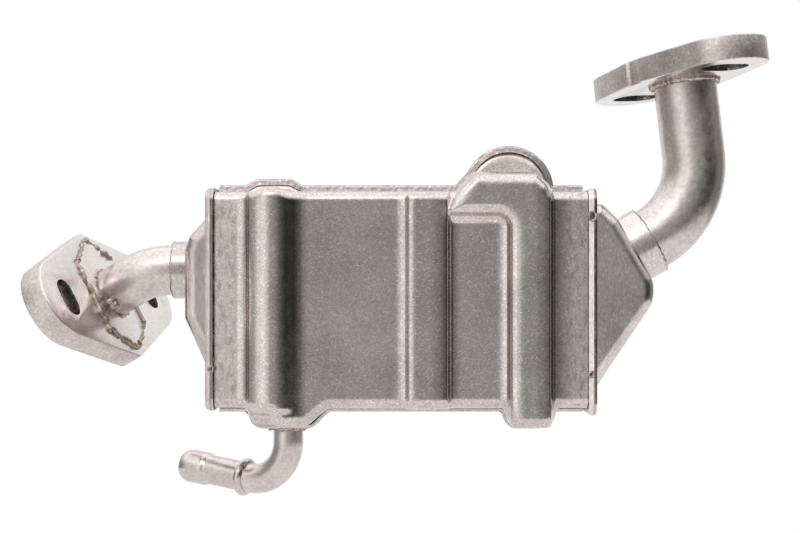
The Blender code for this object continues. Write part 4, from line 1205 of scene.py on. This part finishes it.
FRONT = Vector((0, -1, 0))
PAN_FRONT = -HALF_DEPTH - 1.0
mark("outlet_seam", Vector((HALF_LENGTH - 1.7, PAN_FRONT, 29.6)), FRONT, 2.3, 3.2, 0.46, 0.25)
mark("outlet_low_seam", Vector((HALF_LENGTH - 2.2, PAN_FRONT, -26.6)), FRONT, 1.5, 2.0, 0.38, 0.2)
mark("inlet_seam", Vector((-HALF_LENGTH + 2.2, PAN_FRONT, -24.6)), FRONT, 1.6, 1.9, 0.42, 0.2)
mark("inlet_neck", Vector((-80.6, -9.9, 10.9)), Vector((-0.1, -1, 0.05)), 2.4, 2.6, 0.5, 0.3)

for number in range(4):
    spot = Vector((-8.4 + 1.3 * number, -2.6, HALF_HEIGHT + 1.35))
    spatter = [spot + Vector((0.3 * step, 0.0, 0.0)) for step in range(5)]
    size = 0.34 + 0.08 * (number % 2)
    weld(f"rim_spatter_{number}", spatter, size, closed=False, seed=41.0 + number, lump=0.6)

# Camera

CAMERA_PLACE = (-0.36, -572.2, 11.7)
camera_data = bpy.data.cameras.new("camera")
camera_data.lens = 70.0
camera_data.sensor_width = 36.0
camera = bpy.data.objects.new("camera", camera_data)
camera.location = row_point(CAMERA_PLACE)
camera.rotation_euler = (math.pi / 2, 0.0, 0.0)
bpy.context.scene.collection.objects.link(camera)
bpy.context.scene.camera = camera

# Floor, light and background

# Brightness of the studio by the angle from the camera's side, in degrees towards the outlet end
AZIMUTH_LIGHT = [
    (-90, 0.38), (-72, 0.48), (-54, 1.10), (-34, 1.30), (-20, 0.86), (-8, 0.49), (4, 0.42), (18, 0.30),
    (32, 0.13), (50, 0.03), (70, 0.05), (90, 0.26),
]
TOP_LIGHT = 1.5


def floor():
    """Pale round floor, nearly white to the camera and in reflections, with the object's shadow on it."""
    material = bpy.data.materials.new("floor_look")
    n = Nodes(material)
    shader = n.tree.nodes["Principled BSDF"]
    shader.inputs["Base Color"].default_value = (0.9, 0.9, 0.9, 1.0)
    shader.inputs["Roughness"].default_value = 0.9
    glow = n.add("ShaderNodeEmission")
    glow.inputs["Color"].default_value = (1.0, 1.0, 1.0, 1.0)
    path = n.add("ShaderNodeLightPath").outputs
    seen = n.math("MULTIPLY", n.math("MAXIMUM", path["Is Camera Ray"], path["Is Glossy Ray"]), 0.95)
    n.blend(seen, shader.outputs["BSDF"], glow.outputs["Emission"], "Material Output")
    reach, drop = 600.0, 80.0
    middle = Vector((0.0, 0.0, (CAD_BOX[0][2] - CASE_ORIGIN.z) / MM - drop))
    rim = [around(middle, Vector((1, 0, 0)), Vector((0, 1, 0)), reach, a) for a in turns(64)]
    obj = mesh_object("floor", rim, [tuple(range(len(rim)))])
    obj.data.materials.append(material)


def surroundings():
    """White backdrop, and round it a studio: bright from the left, above and below, dark at the right."""
    world = bpy.data.worlds.new("studio")
    bpy.context.scene.world = world
    n = Nodes(world, "Generated")

    def gradient(value, stops):
        node = n.add("ShaderNodeValToRGB")
        node.color_ramp.interpolation = "EASE"
        elements = node.color_ramp.elements
        for element, (position, level) in zip(list(elements), (stops[0], stops[-1])):
            element.position = position
            element.color = (level, level, level, 1.0)
        for position, level in stops[1:-1]:
            elements.new(position).color = (level, level, level, 1.0)
        n.link(value, node.inputs["Fac"])
        return node.outputs["Color"]

    axes = n.split(n.place)
    angle = n.math("ARCTAN2", axes["X"], n.math("MULTIPLY", axes["Y"], -1.0))
    share = n.math("MULTIPLY_ADD", angle, 1 / math.pi, 0.5)
    sideways = gradient(share, [(0.5 + degrees / 180, level / 2) for degrees, level in AZIMUTH_LIGHT])
    lift = gradient(n.math("ABSOLUTE", axes["Z"]), [(0.24, 0.0), (0.72, 1.0)])
    studio = n.tree.nodes["Background"]
    studio.inputs["Strength"].default_value = 2.0
    n.link(n.mix(lift, sideways, (TOP_LIGHT / 2,) * 3), studio.inputs["Color"])
    white = n.add("ShaderNodeBackground")
    white.inputs["Color"].default_value = (1.0, 1.0, 1.0, 1.0)
    path = n.add("ShaderNodeLightPath").outputs
    mirrored = n.math("ADD", path["Is Glossy Ray"], path["Is Transmission Ray"])
    backdrop = gradient(axes["Y"], [(0.50, 0.0), (0.78, 1.0)])
    shown = n.math("MAXIMUM", path["Is Camera Ray"], n.math("MULTIPLY", mirrored, backdrop))
    n.blend(shown, studio.outputs["Background"], white.outputs["Background"], "World Output")


def key_light():
    data = bpy.data.lights.new("key_light", "AREA")
    data.shape = "RECTANGLE"
    data.size, data.size_y = 0.5, 0.35
    data.energy = 0.6
    obj = bpy.data.objects.new("key_light", data)
    obj.location = row_point((-260, -620, 620))
    obj.rotation_euler = (CASE_ORIGIN - obj.location).to_track_quat("-Z", "Y").to_euler()
    bpy.context.scene.collection.objects.link(obj)


floor()
surroundings()
key_light()
bpy.context.scene.view_settings.view_transform = "Standard"
